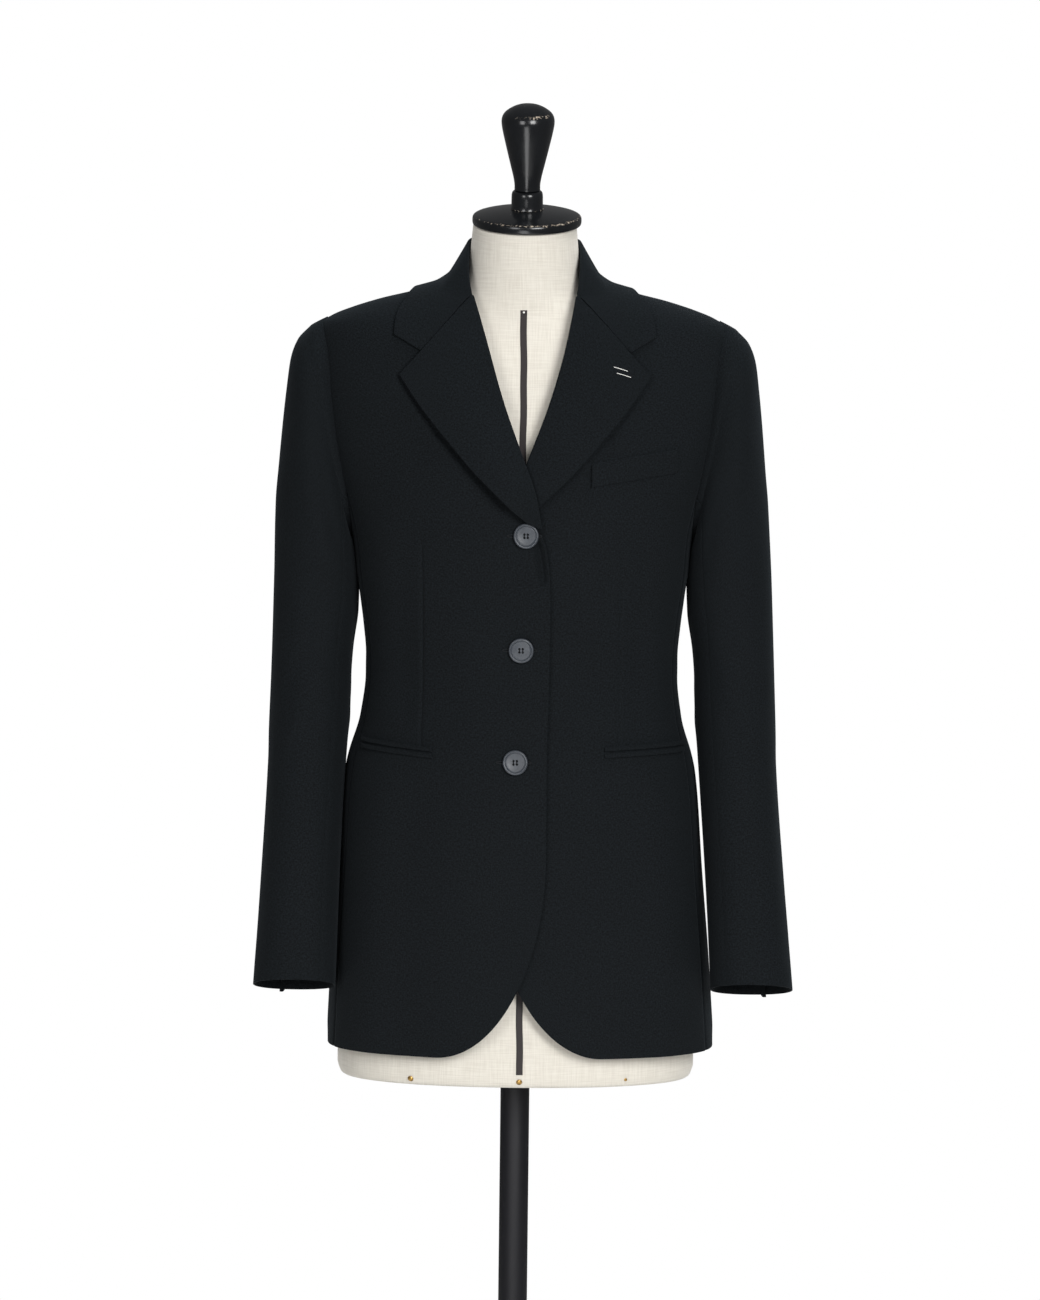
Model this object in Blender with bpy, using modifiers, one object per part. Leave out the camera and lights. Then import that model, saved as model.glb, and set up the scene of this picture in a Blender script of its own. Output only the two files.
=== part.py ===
"""Single breasted blazer on a dress form, with a neck cap, a turned knob, a pole and a round base.

Metres, +Z up. +X is the wearer's left, -Y is the front, and the origin is the middle of the underside
of the base. Each cloth piece is a thin wall on one shared form: the body pieces lie on rings that
climb from the hem to the neck, and the sleeves are lofts of tilted ovals from the armhole to the cuff.
"""
import math

import bmesh
import bpy
from mathutils import Matrix, Vector

# ---- driving dimensions ---------------------------------------------------------------------------
CLOTH = 0.0020              # thickness of the suiting with its canvas
GAP = 0.0007                # room between two edges at a seam
LAPEL_THICK = 0.0018
COLLAR_LIFT = 0.0046        # outer face of the collar above the body of the blazer
CHEST_TOP = 1.3185          # the collar lies on the chest below this height
LAP = 0.0300                # how far each front passes the centre line
CORNER_WIDTH = 0.118        # rounded lower corner of the fronts
CORNER_HEIGHT = 0.200
BREAK_Z = 1.098             # height at which the lapels start to turn back
ARMHOLE_TOP = 1.2985
ARMHOLE_BOTTOM = 1.0850
ARMHOLE_REACH = 0.0520      # half the armhole, front to back
HEM_Z = 0.5770
SIDE_SEAM_FRONT = 73.0      # degrees round from the centre front
SIDE_SEAM_BACK = 112.0
BUTTON_RADIUS = 0.01225
BUTTON_THICK = 0.0034
BUTTON_SHANK = 0.0014       # thread between the cloth and the button
LAP_FADE = 0.0850           # over this width the right front comes down from the lap to the body
VENT_START = 10.2           # the cuff vent opens below this section of the sleeve
FORM_BOTTOM = 0.5440
TAPE_TOP = 1.3090
POLE_RADIUS = 0.0145
BASE_RADIUS = 0.1900
CAP_TILT = 13.0             # degrees that the neck cap leans forward

# The buttons on the right front, by place across and height.
BUTTONS = (
    ("button_top", 0.0033, 1.0895),
    ("button_middle", 0.0001, 0.9770),
    ("button_bottom", -0.0030, 0.8675),
)

# The body of the blazer: half width, reach to the front and to the back, and how square the ring is
# (2 is an ellipse).
BODY_RINGS = (
    # height, half_width, front, back, square
    (0.5770, 0.1928, 0.130, 0.122, 2.30),
    (0.670, 0.1872, 0.131, 0.124, 2.30),
    (0.760, 0.1803, 0.131, 0.124, 2.28),
    (0.825, 0.1760, 0.129, 0.119, 2.26),
    (0.868, 0.1705, 0.126, 0.111, 2.24),
    (0.905, 0.1605, 0.121, 0.101, 2.22),
    (0.955, 0.1540, 0.117, 0.093, 2.20),
    (1.000, 0.1575, 0.121, 0.097, 2.20),
    (1.040, 0.1640, 0.127, 0.103, 2.22),
    (1.085, 0.1700, 0.132, 0.109, 2.25),
    (1.115, 0.1770, 0.132, 0.113, 2.30),
    (1.150, 0.1880, 0.128, 0.116, 2.35),
    (1.190, 0.1985, 0.119, 0.116, 2.40),
    (1.230, 0.2040, 0.107, 0.112, 2.40),
    (1.262, 0.2045, 0.094, 0.104, 2.40),
    (1.285, 0.2045, 0.081, 0.095, 2.35),
    (1.2945, 0.2020, 0.074, 0.090, 2.30),
    (1.3030, 0.1900, 0.068, 0.085, 2.25),
    (1.3110, 0.1705, 0.061, 0.080, 2.20),
    (1.3200, 0.1420, 0.054, 0.074, 2.15),
    (1.3285, 0.1080, 0.047, 0.069, 2.10),
    (1.3410, 0.0740, 0.041, 0.062, 2.05),
)

# How far the blazer hangs to the wearer's left on its form: at its centre and at its sides.
SWAY = (
    # height, centre, side
    (0.5770, 0.0020, 0.0045),
    (0.760, 0.0000, 0.0022),
    (0.868, -0.0005, 0.0015),
    (0.955, 0.0010, 0.0025),
    (1.040, 0.0010, 0.0015),
    (1.100, 0.0015, 0.0005),
    (1.150, 0.0030, 0.0000),
    (1.260, 0.0045, 0.0000),
    (1.300, 0.0030, 0.0000),
    (1.345, 0.0000, 0.0000),
)

# How far the right front stands forward of the left one along its edge, to make room for the layers
# under it: most where the left lapel passes beneath.
LAP_LIFT = (
    # height, lift
    (0.5770, 0.0040),
    (1.040, 0.0044),
    (1.085, 0.0078),
    (1.130, 0.0090),
    (1.170, 0.0060),
    (1.210, 0.0025),
    (1.250, 0.0000),
)

# The linen form, as rings of the same kind, from its lower edge to the top of its neck.
FORM_RINGS = (
    # height, half_width, front, back, square
    (0.544, 0.1690, 0.106, 0.104, 2.20),
    (0.547, 0.1755, 0.112, 0.110, 2.20),
    (0.557, 0.1785, 0.115, 0.113, 2.20),
    (0.640, 0.1770, 0.116, 0.115, 2.20),
    (0.740, 0.1690, 0.114, 0.114, 2.20),
    (0.840, 0.1500, 0.104, 0.100, 2.15),
    (0.950, 0.1250, 0.090, 0.078, 2.10),
    (1.030, 0.1380, 0.103, 0.086, 2.15),
    (1.100, 0.1500, 0.114, 0.094, 2.20),
    (1.160, 0.1560, 0.106, 0.098, 2.25),
    (1.215, 0.1600, 0.090, 0.096, 2.30),
    (1.250, 0.1560, 0.078, 0.088, 2.25),
    (1.275, 0.1380, 0.066, 0.076, 2.20),
    (1.293, 0.1080, 0.057, 0.064, 2.10),
    (1.308, 0.0780, 0.051, 0.056, 2.05),
    (1.328, 0.0600, 0.049, 0.051, 2.00),
    (1.355, 0.0550, 0.050, 0.051, 2.00),
)
NECK_TOP = 1.394            # middle of the slanted top of the neck
NECK_TOP_RADIUS = 0.0515

# The sleeve after the armhole: the outer and inner points of each oval seen from the front, its half
# depth, how far forward its middle is, and how far its back hangs below its front.
SLEEVE_SECTIONS = (
    # outer_x, outer_z, inner_x, inner_z, half_depth, forward, pitch_degrees
    (0.2130, 1.2910, 0.1726, 1.0800, 0.0600, 0.000, 0),
    (0.2245, 1.2785, 0.1728, 1.0735, 0.0650, 0.000, 0),
    (0.2315, 1.2600, 0.1722, 1.0660, 0.0680, 0.000, 0),
    (0.2355, 1.2300, 0.1712, 1.0550, 0.0695, 0.000, 0),
    (0.2395, 1.1850, 0.1698, 1.0370, 0.0695, 0.000, 0),
    (0.2440, 1.1200, 0.1690, 1.0090, 0.0680, -0.001, 0),
    (0.2475, 1.0400, 0.1695, 0.9690, 0.0655, -0.002, 0),
    (0.2510, 0.9400, 0.1725, 0.9100, 0.0620, 0.004, 2),
    (0.2550, 0.8450, 0.1770, 0.8400, 0.0570, 0.017, 8),
    (0.2605, 0.7450, 0.1820, 0.7450, 0.0520, 0.041, 12),
    (0.2685, 0.6390, 0.1865, 0.6390, 0.0460, 0.066, 13),
)
SLEEVE_DRIFT = 0.0055       # both cuffs hang this far toward the wearer's left
SLEEVE_SQUARE = 2.25
SLEEVE_THICK = 0.0016
SLEEVE_SEAM = 0.95          # degrees from a seam to the edge of each piece
FOREARM_SEAM = 118.0        # degrees round the oval from its outer point, by way of the front
HINDARM_SEAM = 250.0
VENT_OPEN = 3.5             # degrees that the seam stands open at the cuff

# The turned-back edges of one lapel, mirrored for the other, seen from the front.
ROLL_LINE = ((-0.0225, 1.0970), (-0.0110, 1.1290), (0.0020, 1.1580), (0.0240, 1.2170), (0.0365, 1.2580),
             (0.0525, 1.3215))
LAPEL_EDGE = ((-0.0035, 1.0985), (0.0215, 1.1230), (0.0440, 1.1450), (0.0830, 1.1900), (0.1040, 1.2170),
              (0.1213, 1.2430))

# The collar fall, half of it from the notch to the centre back. Each section runs from the fold by
# the neck, through its middle, to the free edge. The first one is the gorge seam, bent at the notch.
COLLAR_SECTIONS = (
    # fold_x, fold_y, fold_z, middle_x, middle_y, middle_z, edge_x, edge_y, edge_z
    (0.0535, -0.0520, 1.3222, 0.1022, -0.0700, 1.2672, 0.1282, -0.0700, 1.2825),
    (0.0555, -0.0460, 1.3330, 0.0985, -0.0620, 1.2930, 0.1270, -0.0620, 1.2950),
    (0.0570, -0.0350, 1.3465, 0.0920, -0.0480, 1.3130, 0.1225, -0.0480, 1.3080),
    (0.0578, -0.0190, 1.3620, 0.0815, -0.0280, 1.3345, 0.1130, -0.0260, 1.3205),
    (0.0580, 0.0000, 1.3730, 0.0765, -0.0010, 1.3440, 0.1060, 0.0040, 1.3280),
    (0.0560, 0.0200, 1.3790, 0.0725, 0.0290, 1.3490, 0.0950, 0.0360, 1.3300),
    (0.0460, 0.0400, 1.3825, 0.0600, 0.0520, 1.3535, 0.0725, 0.0590, 1.3315),
    (0.0250, 0.0540, 1.3845, 0.0315, 0.0670, 1.3550, 0.0370, 0.0735, 1.3300),
    (0.0000, 0.0585, 1.3850, 0.0000, 0.0715, 1.3555, 0.0000, 0.0775, 1.3295),
)

# ---- scene, collections and materials -------------------------------------------------------------
for old in list(bpy.data.objects):
    bpy.data.objects.remove(old, do_unlink=True)

model = bpy.data.collections.new("blazer_on_dress_form")
cutters = bpy.data.collections.new("cutters")
bpy.context.scene.collection.children.link(model)
bpy.context.scene.collection.children.link(cutters)


def material(name, color, roughness, metallic=0.0):
    """Return a Principled material of one colour."""
    made = bpy.data.materials.new(name)
    made.use_nodes = True
    shader = made.node_tree.nodes["Principled BSDF"]
    shader.inputs["Base Color"].default_value = (*color, 1.0)
    shader.inputs["Roughness"].default_value = roughness
    shader.inputs["Metallic"].default_value = metallic
    return made


SUITING = material("black_wool_suiting", (0.009, 0.010, 0.012), 0.85)
BUTTON_HORN = material("grey_button_resin", (0.16, 0.18, 0.21), 0.35)
LINEN = material("natural_linen", (0.76, 0.70, 0.60), 0.9)
TAPE = material("dark_cotton_tape", (0.03, 0.027, 0.027), 0.8)
LACQUER = material("black_gloss_lacquer", (0.008, 0.008, 0.009), 0.18)
PAINTED = material("black_satin_paint", (0.012, 0.012, 0.014), 0.4)
BRASS = material("brass", (0.65, 0.42, 0.17), 0.35, 1.0)


def add_object(name, mesh, paint, angle=40.0):
    """Link a mesh as one named part, shaded smooth with sharp edges kept."""
    part = bpy.data.objects.new(name, mesh)
    model.objects.link(part)
    mesh.materials.append(paint)
    mesh.shade_smooth()
    mesh.set_sharp_from_angle(angle=math.radians(angle))
    return part


# ---- tables and rings -----------------------------------------------------------------------------
def eased(table, key, column=0):
    """Read a table at a key, with a smooth curve through its rows that doesn't overshoot."""
    keys = [row[column] for row in table]
    key = min(max(key, keys[0]), keys[-1])
    row = max(1, next((i for i, k in enumerate(keys) if k >= key), len(keys) - 1))
    span = keys[row] - keys[row - 1]
    along = (key - keys[row - 1]) / span

    def slope(at, item):
        if at == 0 or at == len(keys) - 1:
            return 0.0 if at else (table[1][item] - table[0][item]) / (keys[1] - keys[0])
        before = (table[at][item] - table[at - 1][item]) / (keys[at] - keys[at - 1])
        after = (table[at + 1][item] - table[at][item]) / (keys[at + 1] - keys[at])
        return 0.0 if before * after <= 0 else 2 * before * after / (before + after)

    values = []
    for item in range(len(table[0])):
        low, high = table[row - 1][item], table[row][item]
        rise_low, rise_high = slope(row - 1, item) * span, slope(row, item) * span
        cubic = 2 * low - 2 * high + rise_low + rise_high
        square = 3 * high - 3 * low - 2 * rise_low - rise_high
        values.append(((cubic * along + square) * along + rise_low) * along + low)
    return values


def ring_point(rings, turn, height):
    """A point on a ring; turn is in degrees from the centre front toward +X."""
    _, half_width, front, back, square = eased(rings, height)
    side, ahead = math.sin(math.radians(turn)), math.cos(math.radians(turn))
    x = half_width * math.copysign(abs(side) ** (2 / square), side)
    reach = front if ahead > 0 else back
    y = -reach * math.copysign(abs(ahead) ** (2 / square), ahead)
    return Vector((x, y, height))


def ring_normal(rings, turn, height):
    """The way out of the cloth at a point on a ring."""
    step = 0.5
    around = ring_point(rings, turn + step, height) - ring_point(rings, turn - step, height)
    lift = 0.0015
    up = ring_point(rings, turn, height + lift) - ring_point(rings, turn, height - lift)
    return around.cross(up).normalized()


def turn_at_x(rings, x, height):
    """The turn on the front of a ring at which it passes x."""
    _, half_width, _, _, square = eased(rings, height)
    part = min(abs(x) / half_width, 1.0)
    return math.copysign(math.degrees(math.asin(part ** (square / 2))), x)


def turn_at_depth(rings, depth, height, back):
    """The turn at which a ring is this deep, before or behind the widest point."""
    _, _, front, behind, square = eased(rings, height)
    part = min(max(depth, 0.0) / (behind if back else front), 1.0)
    lean = math.degrees(math.acos(part ** (square / 2)))
    return 180.0 - lean if back else lean


def on_front(x, height, out):
    """A point on the front of the blazer seen at x, moved out from the cloth."""
    turn = turn_at_x(BODY_RINGS, x, height)
    return ring_point(BODY_RINGS, turn, height) + ring_normal(BODY_RINGS, turn, height) * out


def armhole_depth(height):
    """Half the armhole, front to back, at a height: an egg, fullest below its middle."""
    climb = (height - ARMHOLE_BOTTOM) / (ARMHOLE_TOP - ARMHOLE_BOTTOM)
    climb = min(max(climb, 0.0), 1.0) ** 0.86
    return ARMHOLE_REACH * math.sqrt(max(0.0, 1 - (2 * climb - 1) ** 2))


# ---- sheets of cloth ------------------------------------------------------------------------------
def wall(name, rows, paint=SUITING, thick=CLOTH):
    """A wall of cloth from rows of points on its outer face. The thickness goes inward."""
    shape = bmesh.new()
    grid = [[shape.verts.new(point) for point in row] for row in rows]
    for lower, upper in zip(grid, grid[1:]):
        for i in range(len(lower) - 1):
            shape.faces.new((lower[i], lower[i + 1], upper[i + 1], upper[i]))
    mesh = bpy.data.meshes.new(name)
    shape.to_mesh(mesh)
    shape.free()
    part = add_object(name, mesh, paint)
    solid = part.modifiers.new("thickness", "SOLIDIFY")
    solid.thickness = thick
    solid.offset = -1.0
    solid.use_even_offset = True
    return part


def spread(low, high, count):
    """Evenly spaced values, both ends included."""
    return [low + (high - low) * i / (count - 1) for i in range(count)]


def along(points, part):
    """A point part of the way along a smooth line through points of any size."""
    table = [(i / (len(points) - 1), *point) for i, point in enumerate(points)]
    return eased(table, part)[1:]


def sway(point):
    """The same point with the blazer's sideways hang added."""
    _, centre, side = eased(SWAY, point.z)
    half_width = eased(BODY_RINGS, point.z)[1]
    out = min(abs(point.x) / half_width, 1.0)
    return point + Vector((centre + (side - centre) * out, 0, 0))


def lap_lift(point):
    """A point of the right front, moved forward where it laps over the left one."""
    fade = min(max((point.x - LAP) / LAP_FADE, 0.0), 1.0)
    lift = eased(LAP_LIFT, point.z)[1] * (1 - fade * fade * (3 - 2 * fade))
    return point + Vector((0, -lift, 0))


def on_side(rows, side):
    """Rows made for the wearer's left, placed on the left (1) or mirrored to the right (-1)."""
    if side > 0:
        return [[sway(p) for p in row] for row in rows]
    return [[sway(Vector((-p.x, p.y, p.z))) for p in reversed(row)] for row in rows]


LOW_ROWS = [HEM_Z, 0.597, 0.622, 0.655, 0.695, 0.740, 0.790, 0.830, 0.868, 0.905, 0.955, 1.000, 1.045]
ARM_ROWS = [1.085, 1.110, 1.135, 1.160, 1.190, 1.225, 1.255, 1.278, 1.291, ARMHOLE_TOP]
TOP_ROWS = [1.3045, 1.311, 1.319, 1.327, 1.336]
HEIGHTS = LOW_ROWS + ARM_ROWS + TOP_ROWS


def roll_x(height):
    """How far from the centre the roll line of the left lapel is at a height."""
    line = [(z, x) for x, z in ROLL_LINE]
    return eased(line, height)[1]


def front_edge_x(height):
    """The free edge of the left front: the front edge, then the roll line and the neck seam."""
    if height < BREAK_Z:
        return -LAP
    if height <= ROLL_LINE[-1][1]:
        return roll_x(height) + 0.0015
    half_width = eased(BODY_RINGS, height)[1]
    return min(0.0560 + (height - ROLL_LINE[-1][1]) * 0.8, half_width * 0.94)


def seam_turn(depth, height):
    """How many degrees short of the widest point of a ring it is this deep."""
    _, _, front, _, square = eased(BODY_RINGS, height)
    return math.degrees((depth / front) ** (square / 2))


def front_outer_turn(height):
    """Where the left front ends on its outer side: side seam, armhole, then shoulder seam."""
    if height >= ARMHOLE_TOP - 0.0005:
        return 90.0 - seam_turn(0.0006, height)
    turn = turn_at_depth(BODY_RINGS, max(armhole_depth(height), 0.0006), height, back=False)
    return turn if height > 1.19 else min(turn, SIDE_SEAM_FRONT)


def back_outer_turn(height):
    """Where the left back starts on its outer side: side seam, armhole, then shoulder seam."""
    if height >= ARMHOLE_TOP - 0.0005:
        return 90.0 + seam_turn(0.0006, height)
    turn = turn_at_depth(BODY_RINGS, max(armhole_depth(height), 0.0006), height, back=True)
    return turn if height > 1.19 else max(turn, SIDE_SEAM_BACK)


def armhole_height(depth):
    """The height of the lower part of the armhole where it is this deep."""
    share = min(depth / ARMHOLE_REACH, 0.985)
    climb = 0.5 - 0.5 * math.sqrt(1 - share * share)
    return ARMHOLE_BOTTOM + climb ** (1 / 0.86) * (ARMHOLE_TOP - ARMHOLE_BOTTOM)


def round_corner(i, j):
    """Move a point of the unit square so that its corner at 0, 0 becomes a quarter of an oval."""
    side, up = 1 - i, 1 - j
    return 1 - side * math.sqrt(1 - up * up / 2), 1 - up * math.sqrt(1 - side * side / 2)


def front_rows(columns=10):
    """Rows of the left front, from the hem to the neck."""
    rows = []
    for height in HEIGHTS:
        row = []
        for part in spread(0, 1, columns):
            z = height
            start = turn_at_x(BODY_RINGS, front_edge_x(z), z)
            end = front_outer_turn(z)
            turn = start + (end - start) * part
            if z < LOW_ROWS[0] + CORNER_HEIGHT:
                x = ring_point(BODY_RINGS, turn, z).x
                i = (x + LAP) / CORNER_WIDTH
                j = (z - LOW_ROWS[0]) / CORNER_HEIGHT
                if i < 1:
                    i, j = round_corner(max(i, 0.0), j)
                    z = LOW_ROWS[0] + j * CORNER_HEIGHT
                    turn = turn_at_x(BODY_RINGS, -LAP + i * CORNER_WIDTH, z)
            row.append(ring_point(BODY_RINGS, turn, z))
        rows.append(row)
    return rows


def side_rows(columns=5):
    """Rows of the left side panel, with the bottom of the armhole along its top."""
    gap = math.degrees(GAP / 0.12)
    turns = spread(SIDE_SEAM_FRONT + gap, SIDE_SEAM_BACK - gap, columns)
    rows = [[ring_point(BODY_RINGS, turn, height) for turn in turns] for height in LOW_ROWS]
    tops = [armhole_height(abs(ring_point(BODY_RINGS, turn, 1.11).y)) for turn in turns]
    for climb in (0.34, 0.67, 1.0):
        row = []
        for turn, top in zip(turns, tops):
            row.append(ring_point(BODY_RINGS, turn, LOW_ROWS[-1] + (top - LOW_ROWS[-1]) * climb))
        rows.append(row)
    return rows


def back_rows(columns=8):
    """Rows of the left back, from the hem to the shoulder and neck."""
    rows = []
    for height in HEIGHTS:
        start = back_outer_turn(height)
        end = 180.0 - turn_at_x(BODY_RINGS, 0.0003, height)
        rows.append([ring_point(BODY_RINGS, turn, height) for turn in spread(start, end, columns)])
    return rows


# ---- the body of the blazer -----------------------------------------------------------------------
wall("front_left", on_side(front_rows(), 1))
wall("front_right", on_side([[lap_lift(p) for p in row] for row in front_rows()], -1))
for side, wearer in ((1, "left"), (-1, "right")):
    wall("side_panel_" + wearer, on_side(side_rows(), side))
    wall("back_" + wearer, on_side(back_rows(), side))


# ---- lapels and collar ----------------------------------------------------------------------------
def lapel_rows(lift_low, lift_high, columns=6, count=10):
    """Rows of the left lapel, from the break to the gorge, standing off the front."""
    rows = []
    for up in spread(0.0, 1.0, count):
        roll_point, edge_point = along(ROLL_LINE, up), along(LAPEL_EDGE, up)
        row = []
        for part in spread(0, 1, columns):
            x = roll_point[0] + (edge_point[0] - roll_point[0]) * part
            z = roll_point[1] + (edge_point[1] - roll_point[1]) * part
            lift = lift_low + (lift_high - lift_low) * up
            crown = lift * math.sin(math.pi * min(part * 1.25 + 0.12, 1.0) * 0.5)
            row.append(on_front(x, z, LAPEL_THICK + 0.0007 + crown))
        rows.append(row)
    return rows


wall("lapel_left", on_side(lapel_rows(0.0012, 0.0030), 1), thick=LAPEL_THICK)
over = [[lap_lift(p) for p in row] for row in lapel_rows(0.0090, 0.0036)]
wall("lapel_right", on_side(over, -1), thick=LAPEL_THICK)


def body_top(x, y):
    """The height of the shoulders of the blazer above a place near the neck."""
    low, high = 1.28, BODY_RINGS[-1][0]
    for _ in range(14):
        middle = (low + high) / 2
        _, half_width, front, back, square = eased(BODY_RINGS, middle)
        share = (abs(x) / half_width) ** square + (abs(y) / (back if y > 0 else front)) ** square
        low, high = (middle, high) if share < 1 else (low, middle)
    return low


def clear_of_body(point, out):
    """A point of the collar, laid on the chest or lifted off the shoulders where it is too close."""
    if point.z < CHEST_TOP and point.y < 0:
        return on_front(point.x, point.z, out)
    return Vector((point.x, point.y, max(point.z, body_top(point.x, point.y) + out)))


def collar_rows(columns=6, count=25):
    """Rows of the collar fall from the right notch round the neck to the left notch."""
    whole = [[-v if i in (0, 3, 6) else v for i, v in enumerate(s)] for s in COLLAR_SECTIONS[:-1]]
    whole += list(COLLAR_SECTIONS)[::-1]
    rows = []
    for step in spread(0, 1, count):
        numbers = along(whole, step)
        bend = [Vector(numbers[i:i + 3]) for i in (0, 3, 6)]
        row = []
        for part in spread(1, 0, columns):
            if part < 0.6:
                point = bend[0].lerp(bend[1], part / 0.6)
            else:
                point = bend[1].lerp(bend[2], (part - 0.6) / 0.4)
            row.append(sway(clear_of_body(point, COLLAR_LIFT)))
        rows.append(row)
    return rows


wall("collar", collar_rows(), thick=LAPEL_THICK)
stand = []
for row in collar_rows()[4:-4]:
    fold = row[-1]
    inward = Vector((-fold.x, -fold.y, 0)).normalized()
    top = fold + inward * 0.0020 + Vector((0, 0, -0.0040))
    low = Vector((fold.x * 1.07, fold.y * 1.05, max(1.3300, fold.z - 0.034)))
    stand.append([low, top.lerp(low, 0.5), top])
wall("collar_stand", stand, thick=0.0012)


# ---- sleeves --------------------------------------------------------------------------------------
def armhole_point(turn):
    """A point on the seam of the left armhole; turn is 0 at the top and 90 at the front."""
    middle = (ARMHOLE_TOP + ARMHOLE_BOTTOM) / 2
    reach = (ARMHOLE_TOP - ARMHOLE_BOTTOM) / 2
    height = middle + reach * math.cos(math.radians(turn))
    depth = armhole_depth(height)
    back = math.sin(math.radians(turn)) < 0
    ring_turn = turn_at_depth(BODY_RINGS, depth, height, back)
    return ring_point(BODY_RINGS, ring_turn, height) + Vector((GAP + 0.0006, 0, 0))


def sleeve_point(section, turn, side):
    """A point on one oval of a sleeve; turn is 0 at its outer side and 90 at its front."""
    outer_x, outer_z, inner_x, inner_z, half_depth, forward, pitch = section
    middle = Vector(((outer_x + inner_x) / 2, -forward, (outer_z + inner_z) / 2))
    across = Vector(((outer_x - inner_x) / 2, 0, (outer_z - inner_z) / 2))
    angle = math.radians(turn)
    power = 2 / SLEEVE_SQUARE
    p = math.copysign(abs(math.cos(angle)) ** power, math.cos(angle))
    q = math.copysign(abs(math.sin(angle)) ** power, math.sin(angle))
    lean = math.radians(pitch)
    ahead = Vector((0, -math.cos(lean), math.sin(lean))) * half_depth
    point = middle + across * p + ahead * q
    hang = min(max((1.06 - point.z) / 0.42, 0.0), 1.0)
    point.x += side * SLEEVE_DRIFT * hang
    return point


def sleeve_rows(side, first, last, columns, vent=0.0, count=20):
    """Rows of one sleeve piece between two seams, from the cuff up to the armhole."""
    rows = []
    for step in spread(1.0, 0.0, count):
        shape = step * len(SLEEVE_SECTIONS)
        row = []
        for turn in spread(first, last - vent * max(0.0, shape - VENT_START), columns):
            if shape >= 1:
                row.append(sleeve_point(along(SLEEVE_SECTIONS, (shape - 1) / (len(SLEEVE_SECTIONS) - 1)),
                                        turn, side))
            else:
                low = sleeve_point(SLEEVE_SECTIONS[0], turn, side)
                row.append(armhole_point(turn).lerp(low, shape))
        rows.append(row)
    return rows


for side, wearer in ((1, "left"), (-1, "right")):
    top = sleeve_rows(side, HINDARM_SEAM - 360 + SLEEVE_SEAM, FOREARM_SEAM - SLEEVE_SEAM, 14)
    under = sleeve_rows(side, FOREARM_SEAM + SLEEVE_SEAM, HINDARM_SEAM - SLEEVE_SEAM, 8, VENT_OPEN)
    for name, rows in (("top_sleeve_", top), ("under_sleeve_", under)):
        placed = [[Vector((side * p.x, p.y, p.z)) for p in row[::-side]] for row in rows]
        wall(name + wearer, placed, thick=SLEEVE_THICK)


# ---- pockets --------------------------------------------------------------------------------------
def strip(name, side, start, end, low, high, out, thick=0.0010, columns=7):
    """A narrow strip of cloth that lies on a front between two ends and two heights."""
    rows = []
    for height in (low, high):
        row = []
        for part in spread(0, 1, columns):
            x = start[0] + (end[0] - start[0]) * part
            z = height + start[1] + (end[1] - start[1]) * part
            row.append(on_front(x, z, out))
        rows.append(row)
    if side < 0:
        rows = [[lap_lift(p) for p in row] for row in rows]
    return wall(name, on_side(rows, side), thick=thick)


for side, wearer, inner, outer in ((1, "left", 0.0815, 0.1570), (-1, "right", 0.0850, 0.1560)):
    ends = (inner, 0.8745), (outer, 0.8800)
    strip("pocket_jet_upper_" + wearer, side, *ends, 0.0004, 0.0058, 0.0021)
    strip("pocket_jet_lower_" + wearer, side, *ends, -0.0058, -0.0004, 0.0021)
strip("breast_welt", 1, (0.0655, 1.1365), (0.1505, 1.1515), 0.0, 0.0230, 0.0030, thick=0.0016)


# ---- turned pieces --------------------------------------------------------------------------------
def turned(name, profile, paint, steps=24):
    """A turned piece about Z from a profile of radius and height, given from the top down."""
    shape = bmesh.new()
    points = [shape.verts.new((radius, 0, height)) for radius, height in profile]
    for upper, lower in zip(points, points[1:]):
        shape.edges.new((upper, lower))
    mesh = bpy.data.meshes.new(name)
    shape.to_mesh(mesh)
    shape.free()
    part = add_object(name, mesh, paint)
    screw = part.modifiers.new("turned", "SCREW")
    screw.steps = steps
    screw.render_steps = steps
    screw.use_merge_vertices = True
    screw.merge_threshold = 0.00001
    return part


# ---- buttons --------------------------------------------------------------------------------------
def button(name, x, height):
    """A four-hole button with a raised rim, on the front that laps over."""
    rim, groove, face = BUTTON_RADIUS, BUTTON_RADIUS - 0.0024, BUTTON_THICK - 0.0007
    profile = ((0, face), (groove, face), (groove + 0.0006, BUTTON_THICK), (rim, BUTTON_THICK - 0.0005),
               (rim - 0.002, 0), (0, 0))
    part = turned(name, profile, BUTTON_HORN, steps=18)
    drill_mesh = bpy.data.meshes.new(name + "_holes")
    shape = bmesh.new()
    for across in (-1, 1):
        for up in (-1, 1):
            place = Matrix.Translation((across * 0.00155, up * 0.00155, BUTTON_THICK / 2))
            bmesh.ops.create_cone(shape, cap_ends=True, segments=6, radius1=0.0009, radius2=0.0009,
                                  depth=BUTTON_THICK * 2, matrix=place)
    shape.to_mesh(drill_mesh)
    shape.free()
    drill = bpy.data.objects.new(name + "_holes", drill_mesh)
    cutters.objects.link(drill)
    drill.hide_render = True
    drill.display_type = "WIRE"
    cut = part.modifiers.new("thread_holes", "BOOLEAN")
    cut.object = drill
    cut.operation = "DIFFERENCE"
    surface = lap_lift(on_front(x, height, 0.0)) + Vector((0, -BUTTON_SHANK, 0))
    facing = ring_normal(BODY_RINGS, 0.0, height)
    turn = facing.to_track_quat("Z", "Y").to_matrix().to_4x4()
    for item in (part, drill):
        item.matrix_world = Matrix.Translation(surface) @ turn
    return part


for name, x, height in BUTTONS:
    button(name, x, height)


# ---- dress form -----------------------------------------------------------------------------------
FORM_HEIGHTS = [row[0] for row in FORM_RINGS[:2]] + spread(FORM_RINGS[2][0], FORM_RINGS[-1][0], 25)
FORM_HEIGHTS = sorted(FORM_HEIGHTS + [TAPE_TOP])


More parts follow.
